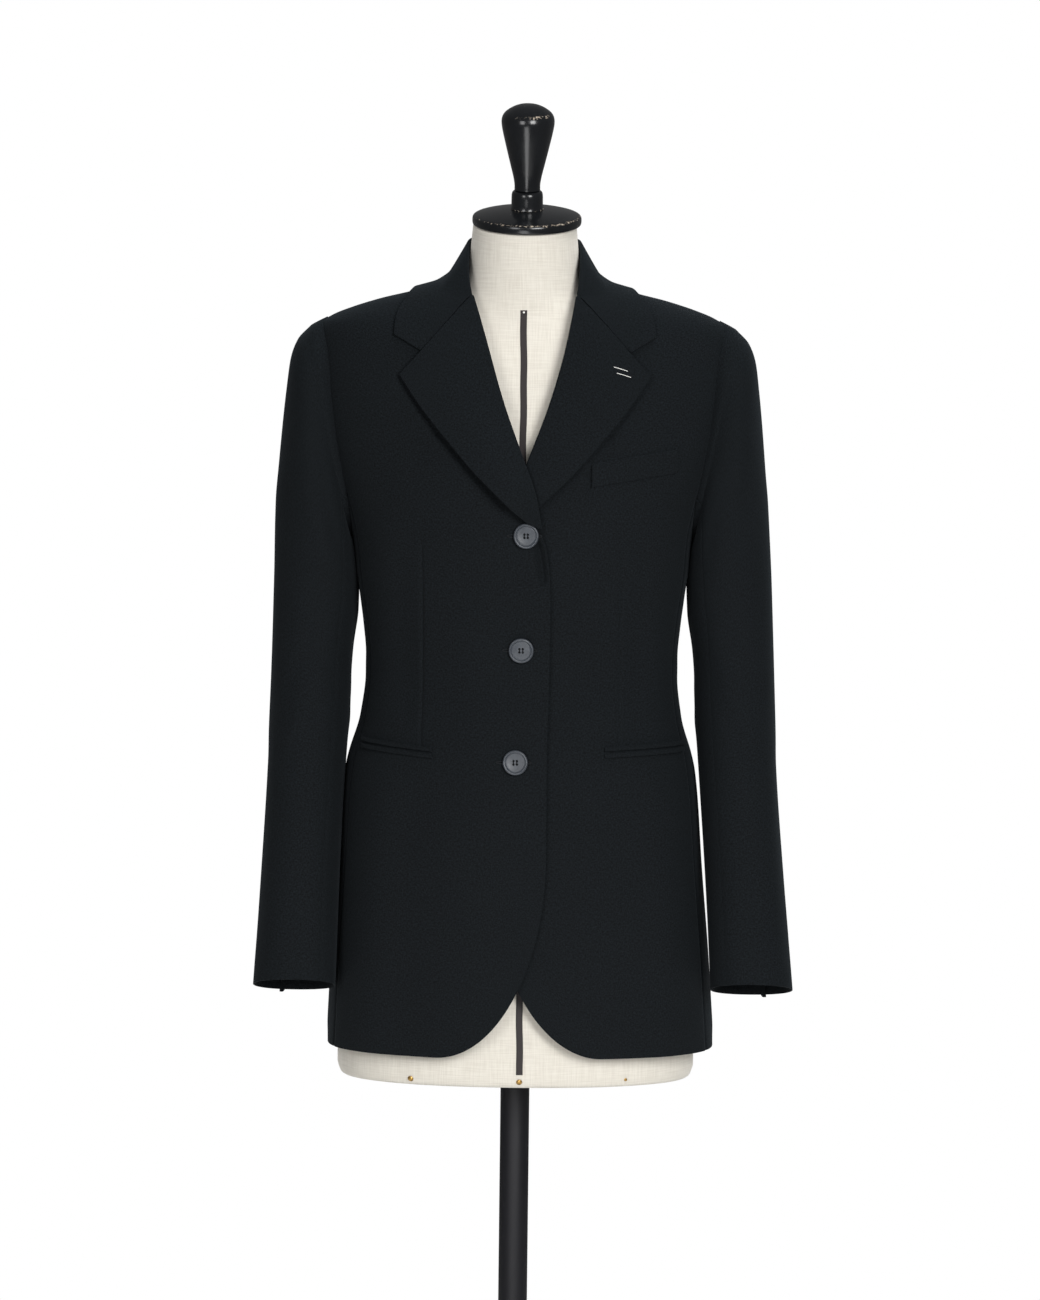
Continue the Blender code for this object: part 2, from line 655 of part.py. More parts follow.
def form_torso(columns=28):
    """The linen torso: rings from the lower edge to the neck, then the slanted neck top."""
    shape = bmesh.new()
    rings = []
    for height in FORM_HEIGHTS:
        rings.append([shape.verts.new(ring_point(FORM_RINGS, 360.0 * i / columns, height))
                      for i in range(columns)])
    slope = math.tan(math.radians(CAP_TILT))
    top = []
    for i in range(columns):
        angle = 2 * math.pi * i / columns
        x, y = NECK_TOP_RADIUS * math.sin(angle), -NECK_TOP_RADIUS * math.cos(angle)
        top.append(shape.verts.new((x, y, NECK_TOP + y * slope)))
    rings.append(top)
    for lower, upper in zip(rings, rings[1:]):
        for i in range(columns):
            j = (i + 1) % columns
            shape.faces.new((lower[i], lower[j], upper[j], upper[i]))
    shape.faces.new(list(reversed(rings[0])))
    shape.faces.new(rings[-1])
    mesh = bpy.data.meshes.new("form_torso")
    shape.to_mesh(mesh)
    shape.free()
    return add_object("form_torso", mesh, LINEN)


form_torso()
tape_rows = []
for x in (-0.0033, 0.0033):
    tape_heights = [z for z in FORM_HEIGHTS if FORM_RINGS[2][0] <= z <= TAPE_TOP]
    tape_rows.append([ring_point(FORM_RINGS, turn_at_x(FORM_RINGS, x, z), z)
                      + Vector((0, -0.0012, 0)) for z in tape_heights])
wall("centre_tape", list(zip(*tape_rows)), paint=TAPE, thick=0.0007)

PINS = (
    # name, x, height, radius
    ("pin_centre", 0.0, 0.5510, 0.0030),
    ("pin_left", 0.1090, 0.5520, 0.0016),
    ("pin_right", -0.1030, 0.5510, 0.0030),
)
for name, x, height, radius in PINS:
    head = turned(name, ((0, radius * 0.45), (radius * 0.7, radius * 0.32), (radius, 0), (0, 0)), BRASS, 12)
    ring_turn = turn_at_x(FORM_RINGS, x, height)
    out = ring_normal(FORM_RINGS, ring_turn, height)
    place = ring_point(FORM_RINGS, ring_turn, height) + out * 0.0012
    head.matrix_world = Matrix.Translation(place) @ out.to_track_quat("Z", "Y").to_matrix().to_4x4()

# The cap, the ferrule and the knob stand square to the slanted neck top.
lean = Matrix.Translation((0, 0, NECK_TOP)) @ Matrix.Rotation(math.radians(CAP_TILT), 4, "X")
CAP = ((0, 0.0150), (0.0180, 0.0145), (0.0340, 0.0128), (0.0460, 0.0104), (0.0520, 0.0084), (0.0541, 0.0058),
       (0.0541, 0.0030), (0.0530, 0.0003), (0, 0.0003))
FERRULE = ((0, 0.0350), (0.0135, 0.0350), (0.0155, 0.0330), (0.0155, 0.0170), (0.0165, 0.0153), (0, 0.0153))
KNOB = ((0, 0.1240), (0.0120, 0.1225), (0.0210, 0.1165), (0.0258, 0.1090), (0.0262, 0.1030), (0.0240, 0.0930),
        (0.0205, 0.0800), (0.0165, 0.0620), (0.0138, 0.0480), (0.0125, 0.0385), (0.0135, 0.0355), (0, 0.0355))
for name, profile in (("neck_cap", CAP), ("ferrule", FERRULE), ("neck_knob", KNOB)):
    turned(name, profile, LACQUER).matrix_world = lean

# ---- stand ----------------------------------------------------------------------------------------
HUB_TOP = 0.0700
BASE = ((0, 0.0200), (0.0700, 0.0190), (BASE_RADIUS * 0.9, 0.0130), (BASE_RADIUS, 0.0080),
        (BASE_RADIUS, 0.0), (0, 0.0))
HUB = ((0, HUB_TOP), (0.0200, HUB_TOP), (0.0230, 0.0660), (0.0240, 0.0300), (0.0320, 0.0210), (0, 0.0210))
POLE = ((0, FORM_BOTTOM - 0.0003), (POLE_RADIUS, FORM_BOTTOM - 0.0003), (POLE_RADIUS, HUB_TOP + 0.0003),
        (0, HUB_TOP + 0.0003))
for name, profile in (("base", BASE), ("pole_hub", HUB), ("pole", POLE)):
    turned(name, profile, PAINTED)
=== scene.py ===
"""The looks of a single breasted blazer on its dress form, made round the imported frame.

Metres, +Z up, +X the wearer's left, -Y the front. The file goes up the stand, over the linen form and
then puts the blazer together: backs, side panels, fronts, pockets, lapels, collar, sleeves and buttons.
"""
import math
from functools import lru_cache

import bmesh
import bpy
from mathutils import Matrix, Vector


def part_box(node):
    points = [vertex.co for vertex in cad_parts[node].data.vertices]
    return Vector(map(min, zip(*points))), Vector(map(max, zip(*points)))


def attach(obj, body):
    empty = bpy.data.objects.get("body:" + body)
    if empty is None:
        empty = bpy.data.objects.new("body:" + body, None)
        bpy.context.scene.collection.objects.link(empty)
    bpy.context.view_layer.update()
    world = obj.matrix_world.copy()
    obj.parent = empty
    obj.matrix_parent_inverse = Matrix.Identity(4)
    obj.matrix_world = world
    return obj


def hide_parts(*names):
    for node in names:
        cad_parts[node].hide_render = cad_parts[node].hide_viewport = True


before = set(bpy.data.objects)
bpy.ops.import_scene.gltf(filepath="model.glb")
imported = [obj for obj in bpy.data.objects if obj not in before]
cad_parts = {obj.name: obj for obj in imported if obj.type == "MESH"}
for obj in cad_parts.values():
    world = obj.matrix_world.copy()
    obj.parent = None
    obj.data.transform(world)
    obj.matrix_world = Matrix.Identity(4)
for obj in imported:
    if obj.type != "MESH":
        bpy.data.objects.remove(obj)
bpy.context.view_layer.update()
# The frame's own solids stay where they are, so none of them is left selected.
for cad_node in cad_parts.values():
    cad_node.select_set(False)


# ---- stand ----------------------------------------------------------------------------------------
# A round steel plate, a cast hub screwed to it and a drawn steel tube pushed into the hub. All three
# are painted satin black: a hard coat with a faint orange peel, a little dulled by handling.
def linear(code):
    """An sRGB hex colour as linear red, green, blue and alpha."""
    parts = [int(code[i:i + 2], 16) / 255 for i in (1, 3, 5)]
    return (*[p / 12.92 if p <= 0.04045 else ((p + 0.055) / 1.055) ** 2.4 for p in parts], 1.0)


def add_node(tree, kind, inputs=None, **settings):
    """Add a node with its settings. An input is a value, or another node's output to link."""
    made = tree.nodes.new(kind)
    for setting, value in settings.items():
        setattr(made, setting, value)
    for place, value in (inputs or {}).items():
        if isinstance(value, bpy.types.NodeSocket):
            tree.links.new(value, made.inputs[place])
        else:
            made.inputs[place].default_value = value
    return made


def new_material(name, **inputs):
    """A material and its nodes. It has only its main shader, whose sockets are given by name."""
    made = bpy.data.materials.new(name)
    made.use_nodes = True
    shader = made.node_tree.nodes["Principled BSDF"]
    for socket, value in inputs.items():
        shader.inputs[socket.replace("_", " ").title().replace("Ior", "IOR")].default_value = value
    return made, made.node_tree


def colour_mix(tree, share, low, high):
    """A colour that goes from low to high with a share, each a hex code or another output."""
    mix = add_node(tree, "ShaderNodeMix", data_type="RGBA")
    for place, value in ((0, share), (6, low), (7, high)):
        if isinstance(value, bpy.types.NodeSocket):
            tree.links.new(value, mix.inputs[place])
        else:
            mix.inputs[place].default_value = linear(value) if isinstance(value, str) else value
    return mix.outputs[2]


def on_object(tree):
    """The place on the object, in metres."""
    return add_node(tree, "ShaderNodeTexCoord").outputs["Object"]


def noise(tree, place, scale, detail, **more):
    """A cloudy share, from 0 to 1, that changes from place to place."""
    inputs = {"Vector": place, "Scale": scale, "Detail": detail, **more}
    return add_node(tree, "ShaderNodeTexNoise", inputs).outputs["Fac"]


def stretched(tree, share, **limits):
    """A share mapped from one range to another, with limits such as to_min."""
    inputs = {limit.replace("_", " ").title(): value for limit, value in limits.items()}
    return add_node(tree, "ShaderNodeMapRange", {"Value": share, **inputs}).outputs["Result"]


def feed(tree, socket, output):
    """Link an output to a socket of the material's main shader."""
    tree.links.new(output, tree.nodes["Principled BSDF"].inputs[socket])


def raise_grain(tree, height, strength, distance):
    """Bump the surface of the material by a height."""
    inputs = {"Height": height, "Strength": strength, "Distance": distance}
    feed(tree, "Normal", add_node(tree, "ShaderNodeBump", inputs).outputs["Normal"])


def turned(name, profile, sides=64, smooth=False, tilt=0.0, foot=(0, 0, 0)):
    """A piece turned on a lathe: a disc drawn up and resized from point to point of its profile."""
    bpy.ops.object.select_all(action="DESELECT")
    bpy.ops.mesh.primitive_circle_add(vertices=sides, radius=profile[0][0], fill_type="NGON",
                                      location=(0, 0, profile[0][1]))
    piece = bpy.context.object
    piece.name = name
    bpy.ops.object.mode_set(mode="EDIT")
    bpy.ops.mesh.select_all(action="SELECT")
    for (radius, height), (next_radius, next_height) in zip(profile, profile[1:]):
        bpy.ops.mesh.extrude_region_move(TRANSFORM_OT_translate={"value": (0, 0, next_height - height)})
        ratio = next_radius / radius
        bpy.ops.transform.resize(value=(ratio, ratio, 1), center_override=(0, 0, next_height))
    bpy.ops.mesh.select_all(action="SELECT")
    bpy.ops.mesh.normals_make_consistent(inside=False)
    bpy.ops.object.mode_set(mode="OBJECT")
    bpy.ops.object.transform_apply(location=True)
    if smooth:
        soften = piece.modifiers.new("soften", "SUBSURF")
        soften.levels = soften.render_levels = 1
    else:
        soften = piece.modifiers.new("soften", "BEVEL")
        soften.width = 0.0008
        soften.segments = 3
        soften.limit_method = "ANGLE"
    bpy.ops.object.modifier_apply(modifier=soften.name)
    bpy.ops.object.shade_smooth_by_angle(angle=math.radians(35))
    piece.rotation_euler.x = tilt
    piece.location = foot
    bpy.ops.object.transform_apply(location=True, rotation=True)
    return piece


def settle(piece, material, slot, *nodes):
    """Give a finished piece its material, hang it on the root body and hide the parts of the frame that it
    stands for.
    """
    piece.data.materials.clear()
    piece.data.materials.append(material)
    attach(piece, "root")
    if nodes:
        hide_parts(*nodes)


satin_paint, tree = new_material("satin_black_paint_on_steel", roughness=0.5, specular_ior_level=0.25)
handled = noise(tree, on_object(tree), 9.0, 6.0)
orange_peel = noise(tree, on_object(tree), 900.0, 2.0)
feed(tree, "Base Color", colour_mix(tree, handled, "#0d0d11", "#17171c"))
feed(tree, "Roughness", stretched(tree, handled, to_min=0.42, to_max=0.58))
raise_grain(tree, orange_peel, 0.12, 0.0002)

base_box, hub_box, pole_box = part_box("base"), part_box("pole_hub"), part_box("pole")
BASE_RADIUS = base_box[1][0]
PLATE = ((BASE_RADIUS, base_box[0][2]), (BASE_RADIUS, 0.0076), (BASE_RADIUS * 0.985, 0.0090),
         (BASE_RADIUS * 0.9, 0.0130), (0.120, 0.0168), (0.070, 0.0190), (0.040, 0.0200))
settle(turned("base_plate", PLATE, sides=128), satin_paint, "paint", "base")
HUB = ((0.0320, 0.0202), (0.0315, 0.0222), (0.0265, 0.0262), (0.0243, 0.0320), (0.0236, 0.0480),
       (0.0230, 0.0660), (0.0200, hub_box[1][2]))
settle(turned("base_hub", HUB), satin_paint, "paint", "pole_hub")
POLE_RADIUS = pole_box[1][0]
TUBE = ((POLE_RADIUS, pole_box[0][2]), (POLE_RADIUS, 0.300), (POLE_RADIUS, pole_box[1][2]))
settle(turned("stand_pole", TUBE), satin_paint, "paint", "pole")


# ---- linen form -----------------------------------------------------------------------------------
# A stiff pressed body with a tight linen cover, seamed in panels and glued over a flat lower edge.
# The cover is unbleached plain weave with slubs, so it is warm, dry and a little uneven.
FORM_RINGS = (
    # height, half_width, front, back, square
    (0.547, 0.1755, 0.112, 0.110, 2.20),
    (0.557, 0.1785, 0.115, 0.113, 2.20),
    (0.640, 0.1770, 0.116, 0.115, 2.20),
    (0.740, 0.1690, 0.114, 0.114, 2.20),
    (0.840, 0.1500, 0.104, 0.100, 2.15),
    (0.950, 0.1250, 0.090, 0.078, 2.10),
    (1.030, 0.1380, 0.103, 0.086, 2.15),
    (1.100, 0.1500, 0.114, 0.094, 2.20),
    (1.160, 0.1560, 0.106, 0.098, 2.25),
    (1.215, 0.1600, 0.090, 0.096, 2.30),
    (1.250, 0.1560, 0.078, 0.088, 2.25),
    (1.275, 0.1380, 0.066, 0.076, 2.20),
    (1.293, 0.1080, 0.057, 0.064, 2.10),
    (1.308, 0.0780, 0.051, 0.056, 2.05),
    (1.328, 0.0600, 0.049, 0.051, 2.00),
    (1.355, 0.0550, 0.050, 0.051, 2.00),
)
NECK_TOP = 1.3937           # middle of the slanted top of the neck
NECK_TOP_RADIUS = 0.0515
CAP_SHIFT = 0.0020          # the cap sits this far to the wearer's left of the neck
CAP_TILT = 13.0             # degrees that the neck top leans forward
PANEL_SEAMS = (38.0, 92.0, 142.0)     # turns of the seams of the cover, the same on both sides


def within(value, low=0.0, high=1.0):
    """A value held between two limits."""
    return min(max(value, low), high)


@lru_cache(maxsize=None)
def eased(table, key, column=0):
    """Read a table at a key, with a smooth curve through its rows that doesn't overshoot."""
    keys = [row[column] for row in table]
    key = within(key, keys[0], keys[-1])
    row = max(1, next((i for i, k in enumerate(keys) if k >= key), len(keys) - 1))
    span = keys[row] - keys[row - 1]
    part = (key - keys[row - 1]) / span

    def slope(at, item):
        if at == 0 or at == len(keys) - 1:
            return 0.0 if at else (table[1][item] - table[0][item]) / (keys[1] - keys[0])
        before = (table[at][item] - table[at - 1][item]) / (keys[at] - keys[at - 1])
        after = (table[at + 1][item] - table[at][item]) / (keys[at + 1] - keys[at])
        return 0.0 if before * after <= 0 else 2 * before * after / (before + after)

    values = []
    for item in range(len(table[0])):
        low, high = table[row - 1][item], table[row][item]
        rise_low, rise_high = slope(row - 1, item) * span, slope(row, item) * span
        cubic = 2 * low - 2 * high + rise_low + rise_high
        square = 3 * high - 3 * low - 2 * rise_low - rise_high
        values.append(((cubic * part + square) * part + rise_low) * part + low)
    return values


def squared(share, power):
    """A sine or cosine bent so that its circle comes nearer to a square; the sign is kept."""
    return math.copysign(abs(share) ** power, share)


def ring_point(rings, turn, height):
    """A point on a ring; turn is in degrees from the centre front toward +X."""
    _, half_width, front, back, square = eased(rings, height)
    side, ahead = math.sin(math.radians(turn)), math.cos(math.radians(turn))
    reach = front if ahead > 0 else back
    return Vector((half_width * squared(side, 2 / square), -reach * squared(ahead, 2 / square), height))


def ring_normal(rings, turn, height):
    """The way out of the surface at a point on a ring."""
    around = ring_point(rings, turn + 0.5, height) - ring_point(rings, turn - 0.5, height)
    up = ring_point(rings, turn, height + 0.0015) - ring_point(rings, turn, height - 0.0015)
    return around.cross(up).normalized()


def turn_at_x(rings, x, height):
    """The turn on the front of a ring at which it passes x."""
    _, half_width, _, _, square = eased(rings, height)
    part = min(abs(x) / half_width, 1.0)
    return math.copysign(math.degrees(math.asin(part ** (square / 2))), x)


def spread(low, high, count):
    """Evenly spaced values, both ends included."""
    return [low + (high - low) * i / (count - 1) for i in range(count)]


def distances(points):
    """How far along a line of points each of them lies."""
    run = [0.0]
    for one, other in zip(points, points[1:]):
        run.append(run[-1] + (other - one).length)
    return run


def new_object(name, data):
    """An object in the scene, made from its data."""
    made = bpy.data.objects.new(name, data)
    bpy.context.scene.collection.objects.link(made)
    return made


def woven_grid(name, rows, closed=False):
    """A mesh from rows of points, with a UV map in metres that runs along the weave."""
    shape = bmesh.new()
    weave = shape.loops.layers.uv.new("weave")
    grid = [[shape.verts.new(point) for point in row] for row in rows]
    middle = len(rows[0]) // 2
    climb = distances([row[middle] for row in rows])
    across = []
    for row in rows:
        run = distances(row + row[:1])
        across.append([step - run[middle] for step in run])
    count = len(rows[0])
    for r in range(len(rows) - 1):
        for c in range(count if closed else count - 1):
            corners = ((r, c), (r, c + 1), (r + 1, c + 1), (r + 1, c))
            face = shape.faces.new([grid[i][j % count] for i, j in corners])
            for loop, (i, j) in zip(face.loops, corners):
                loop[weave].uv = (across[i][j], climb[i])
    if closed:
        shape.faces.new(list(reversed(grid[0])))
        shape.faces.new(grid[-1])
    mesh = bpy.data.meshes.new(name)
    shape.to_mesh(mesh)
    shape.free()
    mesh.shade_smooth()
    return new_object(name, mesh)


def seam_dip(away, depth=0.0009, width=0.0022):
    """How far a surface sinks beside a seam, at a distance from it."""
    return -depth * math.exp(-(away / width) ** 2)


FORM_TURNS = spread(-180, 178, 180)   # the rows start at the centre back, where the cover is joined
# Inset and height of the rounded lower edge, from underneath.
FORM_EDGE = ((0.020, 0.5442), (0.006, 0.5440), (0.0028, 0.5446), (0.0008, 0.5460))
form_rows = []
for inset, height in FORM_EDGE:
    ring = [ring_point(FORM_RINGS, turn, height) for turn in FORM_TURNS]
    form_rows.append([Vector((p.x * (1 - inset / 0.15), p.y * (1 - inset / 0.1), height)) for p in ring])
for height in spread(0.5475, FORM_RINGS[-1][0], 200):
    ring = []
    for turn in FORM_TURNS:
        point = ring_point(FORM_RINGS, turn, height)
        nearest = min(abs(abs((turn + 180) % 360 - 180) - seam) for seam in PANEL_SEAMS)
        dip = seam_dip(math.radians(nearest) * 0.13, 0.0006, 0.0030) if height < 1.30 else 0.0
        ring.append(point + ring_normal(FORM_RINGS, turn, height) * dip)
    form_rows.append(ring)
slope = math.tan(math.radians(CAP_TILT))
neck_ring = []
for turn in FORM_TURNS:
    x = NECK_TOP_RADIUS * math.sin(math.radians(turn))
    y = -NECK_TOP_RADIUS * math.cos(math.radians(turn))
    neck_ring.append(Vector((x, y, NECK_TOP + y * slope)))
base_ring = form_rows[-1]
for share in (0.25, 0.5, 0.75, 0.95, 1.0):
    form_rows.append([low.lerp(top, share) for low, top in zip(base_ring, neck_ring)])
form_cover = woven_grid("linen_form", form_rows, closed=True)


def crossed_threads(tree, weave_map, fine, long, detail):
    """The height of warp and weft: two noises that are fine across the thread and long along it."""
    ways = []
    for scale in ((fine, long, 1.0), (long, fine, 1.0)):
        drawn_out = add_node(tree, "ShaderNodeMapping", {"Vector": weave_map, "Scale": scale})
        ways.append(noise(tree, drawn_out.outputs[0], 1.0, detail))
    return add_node(tree, "ShaderNodeMath", {0: ways[0], 1: ways[1]}, operation="ADD").outputs[0]


linen, tree = new_material("unbleached_linen_plain_weave", roughness=0.92, specular_ior_level=0.25,
                           sheen_weight=0.25, sheen_roughness=0.6)
# Threads are 0.7 mm apart in the real cover; they are drawn at 1.3 mm so that they show.
LINEN_THREAD = 1 / 0.0013
LINEN_SLUB = 38.0           # slubs are about 26 mm long
weave_map = add_node(tree, "ShaderNodeUVMap", uv_map="weave").outputs["UV"]
threads = crossed_threads(tree, weave_map, LINEN_THREAD, LINEN_SLUB, 2.0)
woven = colour_mix(tree, stretched(tree, threads, from_min=0.75, from_max=1.25), "#dbd5c9", "#eae5da")
mottle = colour_mix(tree, noise(tree, weave_map, 22.0, 5.0), "#cfc5b0", "#f4f0e6")
feed(tree, "Base Color", colour_mix(tree, 0.10, woven, mottle))
raise_grain(tree, threads, 0.35, 0.0004)
settle(form_cover, linen, "linen", "form_torso")

# ---- neck cap, ferrule and knob -------------------------------------------------------------------
# Turned beech under black gloss lacquer, screwed through the slanted neck. The lacquer is chipped to
# the pale primer along the rim of the cap and on the shoulder of the knob, where hands take hold.
lacquer, tree = new_material("black_lacquer_on_turned_beech", roughness=0.3, coat_weight=0.2,
                             coat_roughness=0.2, specular_ior_level=0.4)
worn = add_node(tree, "ShaderNodeAttribute", attribute_name="wear").outputs["Fac"]
# Chips are 0.5 to 3 mm across, and the lacquer is a little smoky over 15 mm or so.
chips = noise(tree, on_object(tree), 420.0, 5.0, Roughness=0.7)
chipped = add_node(tree, "ShaderNodeMath", {0: chips, 1: worn}, operation="MULTIPLY").outputs[0]
bare = stretched(tree, chipped, from_min=0.47, from_max=0.52)
smoky = noise(tree, on_object(tree), 60.0, 4.0)
black = colour_mix(tree, smoky, "#0e0f11", "#1b1d20")
primer = colour_mix(tree, smoky, "#8f7a66", "#cfc6b6")
feed(tree, "Base Color", colour_mix(tree, bare, black, primer))
feed(tree, "Roughness", stretched(tree, bare, to_min=0.2, to_max=0.75))
raise_grain(tree, smoky, 0.15, 0.0004)
HAND_SIDE = math.radians(25)          # where hands take hold, round from the front


def mark_wear(piece, middle, span, uneven):
    """Mark how worn a turned piece is: fully at a height above the neck top, none past the span.

    An uneven piece is worn less on the side away from where hands take hold of it.
    """
    reach = max(math.hypot(vert.co.x - CAP_SHIFT, vert.co.y) for vert in piece.data.vertices)
    marks = piece.data.attributes.new("wear", "FLOAT", "POINT")
    lean = Matrix.Rotation(-math.radians(CAP_TILT), 4, "X")
    for vert, mark in zip(piece.data.vertices, marks.data):
        height = (lean @ (vert.co - Vector((CAP_SHIFT, 0, NECK_TOP)))).z
        ahead = (vert.co.x - CAP_SHIFT) * math.sin(HAND_SIDE) - vert.co.y * math.cos(HAND_SIDE)
        handled = 0.5 + 0.5 * ahead / reach
        mark.value = max(0.0, 1 - abs(height - middle) / span) * (1 - uneven * (1 - handled))


CAP = ((0.0500, 0.0006), (0.0526, 0.0008), (0.0540, 0.0018), (0.0545, 0.0036), (0.0545, 0.0078),
       (0.0538, 0.0094), (0.0520, 0.0106), (0.0485, 0.0116), (0.0400, 0.0138), (0.0280, 0.0156),
       (0.0180, 0.0164), (0.0080, 0.0168))
FERRULE = ((0.0163, 0.0152), (0.0164, 0.0170), (0.0160, 0.0182), (0.0157, 0.0200), (0.0157, 0.0300),
           (0.0154, 0.0328), (0.0142, 0.0348), (0.0120, 0.0353))
KNOB = ((0.0120, 0.0353), (0.0130, 0.0358), (0.0127, 0.0385), (0.0128, 0.0420), (0.0139, 0.0490),
        (0.0173, 0.0620), (0.0214, 0.0790), (0.0245, 0.0920), (0.0261, 0.1000), (0.0266, 0.1050),
        (0.0260, 0.1095), (0.0236, 0.1135), (0.0200, 0.1163), (0.0150, 0.1194), (0.0090, 0.1216),
        (0.0040, 0.1222))
for piece_name, node, profile, wear_height, wear_span, uneven in (
        ("cap_of_neck", "neck_cap", CAP, 0.0098, 0.0045, 0.3),
        ("cap_ferrule", "ferrule", FERRULE, 0.0172, 0.0022, 0.0),
        ("cap_knob", "neck_knob", KNOB, 0.1125, 0.0080, 0.8)):
    piece = turned(piece_name, profile, sides=72, smooth=True, tilt=math.radians(CAP_TILT),
                   foot=(CAP_SHIFT, 0, NECK_TOP))
    mark_wear(piece, wear_height, wear_span, uneven)
    settle(piece, lacquer, "lacquer", node)


# ---- centre tape and pins -------------------------------------------------------------------------
# A narrow cotton twill tape glued down the centre front of the form, with a pin through its square
# top end. Brass pins mark the lower edge. The tape has a fine diagonal rib and slightly soft edges.
def on_form(x, height, out):
    """A point on the front of the form seen at x, moved out from the linen."""
    turn = turn_at_x(FORM_RINGS, x, height)
    return ring_point(FORM_RINGS, turn, height) + ring_normal(FORM_RINGS, turn, height) * out


TAPE_HALF = 0.0033
TAPE_THICK = 0.0005
TAPE_FOOT = 0.5580
TAPE_DRIFT = 0.0040         # the tape runs this far to the wearer's left over its length
TAPE_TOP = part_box("centre_tape")[1][2]
tape_rows = []
for height in spread(TAPE_FOOT, TAPE_TOP, 240):
    drift = TAPE_DRIFT * (TAPE_TOP - height) / (TAPE_TOP - TAPE_FOOT)
    drift += 0.0003 * math.sin(height * 37.0) + 0.0002 * math.sin(height * 121.0)
    tape_rows.append([on_form(drift + x, height, 0.0006 if abs(x) < TAPE_HALF else 0.00045)
                      for x in spread(-TAPE_HALF, TAPE_HALF, 7)])
tape_piece = woven_grid("front_tape", tape_rows)


def pick(piece):
    """Make a piece the active one and the only one selected."""
    bpy.ops.object.select_all(action="DESELECT")
    piece.select_set(True)
    bpy.context.view_layer.objects.active = piece


def thicken(piece, thick, round_off=0.0006):
    """Give a sheet its thickness, behind its face, and round its edges."""
    pick(piece)
    wall = piece.modifiers.new("wall", "SOLIDIFY")
    wall.thickness = thick
    wall.offset = -1.0
    bpy.ops.object.modifier_apply(modifier=wall.name)
    edge = piece.modifiers.new("edge", "BEVEL")
    edge.width = round_off
    edge.segments = 2
    edge.limit_method = "ANGLE"
    edge.angle_limit = math.radians(55)
    bpy.ops.object.modifier_apply(modifier=edge.name)
    bpy.ops.object.shade_smooth_by_angle(angle=math.radians(60))


thicken(tape_piece, TAPE_THICK, 0.0001)
cotton_tape, tree = new_material("dark_cotton_twill_tape", roughness=0.85, sheen_weight=0.2)
weave_map = add_node(tree, "ShaderNodeUVMap", uv_map="weave").outputs["UV"]
# The rib of the twill is 0.9 mm from ridge to ridge.
rib = add_node(tree, "ShaderNodeTexWave", {"Vector": weave_map, "Scale": 350.0, "Distortion": 0.6},
               bands_direction="DIAGONAL").outputs["Fac"]
feed(tree, "Base Color", colour_mix(tree, rib, "#231f1f", "#3d3636"))
raise_grain(tree, rib, 0.3, 0.0002)
settle(tape_piece, cotton_tape, "tape", "centre_tape")

brass, tree = new_material("lacquered_brass", metallic=1.0, roughness=0.3)
feed(tree, "Base Color", colour_mix(tree, noise(tree, on_object(tree), 700.0, 4.0), "#8a6a38", "#d2ab66"))
pin_white, tree = new_material("white_glass_pin_head", roughness=0.2)
feed(tree, "Base Color", colour_mix(tree, noise(tree, on_object(tree), 400.0, 2.0), "#e6e2da", "#fbfaf6"))


def pin(name, x, height, radius, material, *nodes):
    """A domed pin head pushed into the form."""
    dome = [(radius * math.cos(math.radians(a)), radius * 0.5 * math.sin(math.radians(a)))
            for a in (0, 15, 30, 45, 60, 75, 85)]
    head = turned(name, [(radius * 0.96, -0.0002)] + dome, sides=24, smooth=True)
    turn = turn_at_x(FORM_RINGS, x, height)
    facing = ring_normal(FORM_RINGS, turn, height)
    head.data.transform(Matrix.Translation(on_form(x, height, 0.0005))
                        @ facing.to_track_quat("Z", "Y").to_matrix().to_4x4())
    settle(head, material, "brass", *nodes)


pin("hem_pin_centre", TAPE_DRIFT, 0.5510, 0.0030, brass, "pin_centre")
pin("hem_pin_left", 0.1090, 0.5520, 0.0017, brass, "pin_left")
pin("hem_pin_right", -0.1030, 0.5510, 0.0030, brass, "pin_right")
pin("tape_pin", 0.0, TAPE_TOP - 0.0022, 0.0011, pin_white)


# ---- backs and side panels ------------------------------------------------------------------------
# Fine black plain-weave wool with a soft melange, pressed over canvas. Each panel is cut on its own
# and joined by a pressed-open seam, which shows as a thin sunk line with the cloth rolled into it.
BODY_RINGS = (
    # height, half_width, front, back, square
    (0.5755, 0.1928, 0.130, 0.122, 2.36),
    (0.670, 0.1872, 0.131, 0.124, 2.38),
    (0.760, 0.1803, 0.131, 0.124, 2.38),
    (0.825, 0.1760, 0.129, 0.119, 2.36),
    (0.868, 0.1705, 0.126, 0.111, 2.32),
    (0.905, 0.1605, 0.121, 0.101, 2.28),
    (0.955, 0.1550, 0.117, 0.093, 2.26),
    (1.000, 0.1588, 0.121, 0.097, 2.26),
    (1.040, 0.1652, 0.127, 0.103, 2.28),
    (1.085, 0.1700, 0.132, 0.109, 2.30),
    (1.115, 0.1770, 0.132, 0.113, 2.32),
    (1.150, 0.1880, 0.128, 0.116, 2.36),
    (1.190, 0.1985, 0.119, 0.116, 2.40),
    (1.230, 0.2040, 0.107, 0.112, 2.40),
    (1.262, 0.2045, 0.094, 0.104, 2.40),
    (1.285, 0.2045, 0.081, 0.095, 2.35),
    (1.2945, 0.2020, 0.074, 0.090, 2.30),
    (1.3030, 0.1900, 0.068, 0.085, 2.25),
    (1.3110, 0.1705, 0.061, 0.080, 2.20),
    (1.3200, 0.1420, 0.054, 0.074, 2.15),
    (1.3285, 0.1080, 0.047, 0.069, 2.10),
    (1.3410, 0.0740, 0.041, 0.062, 2.05),
)
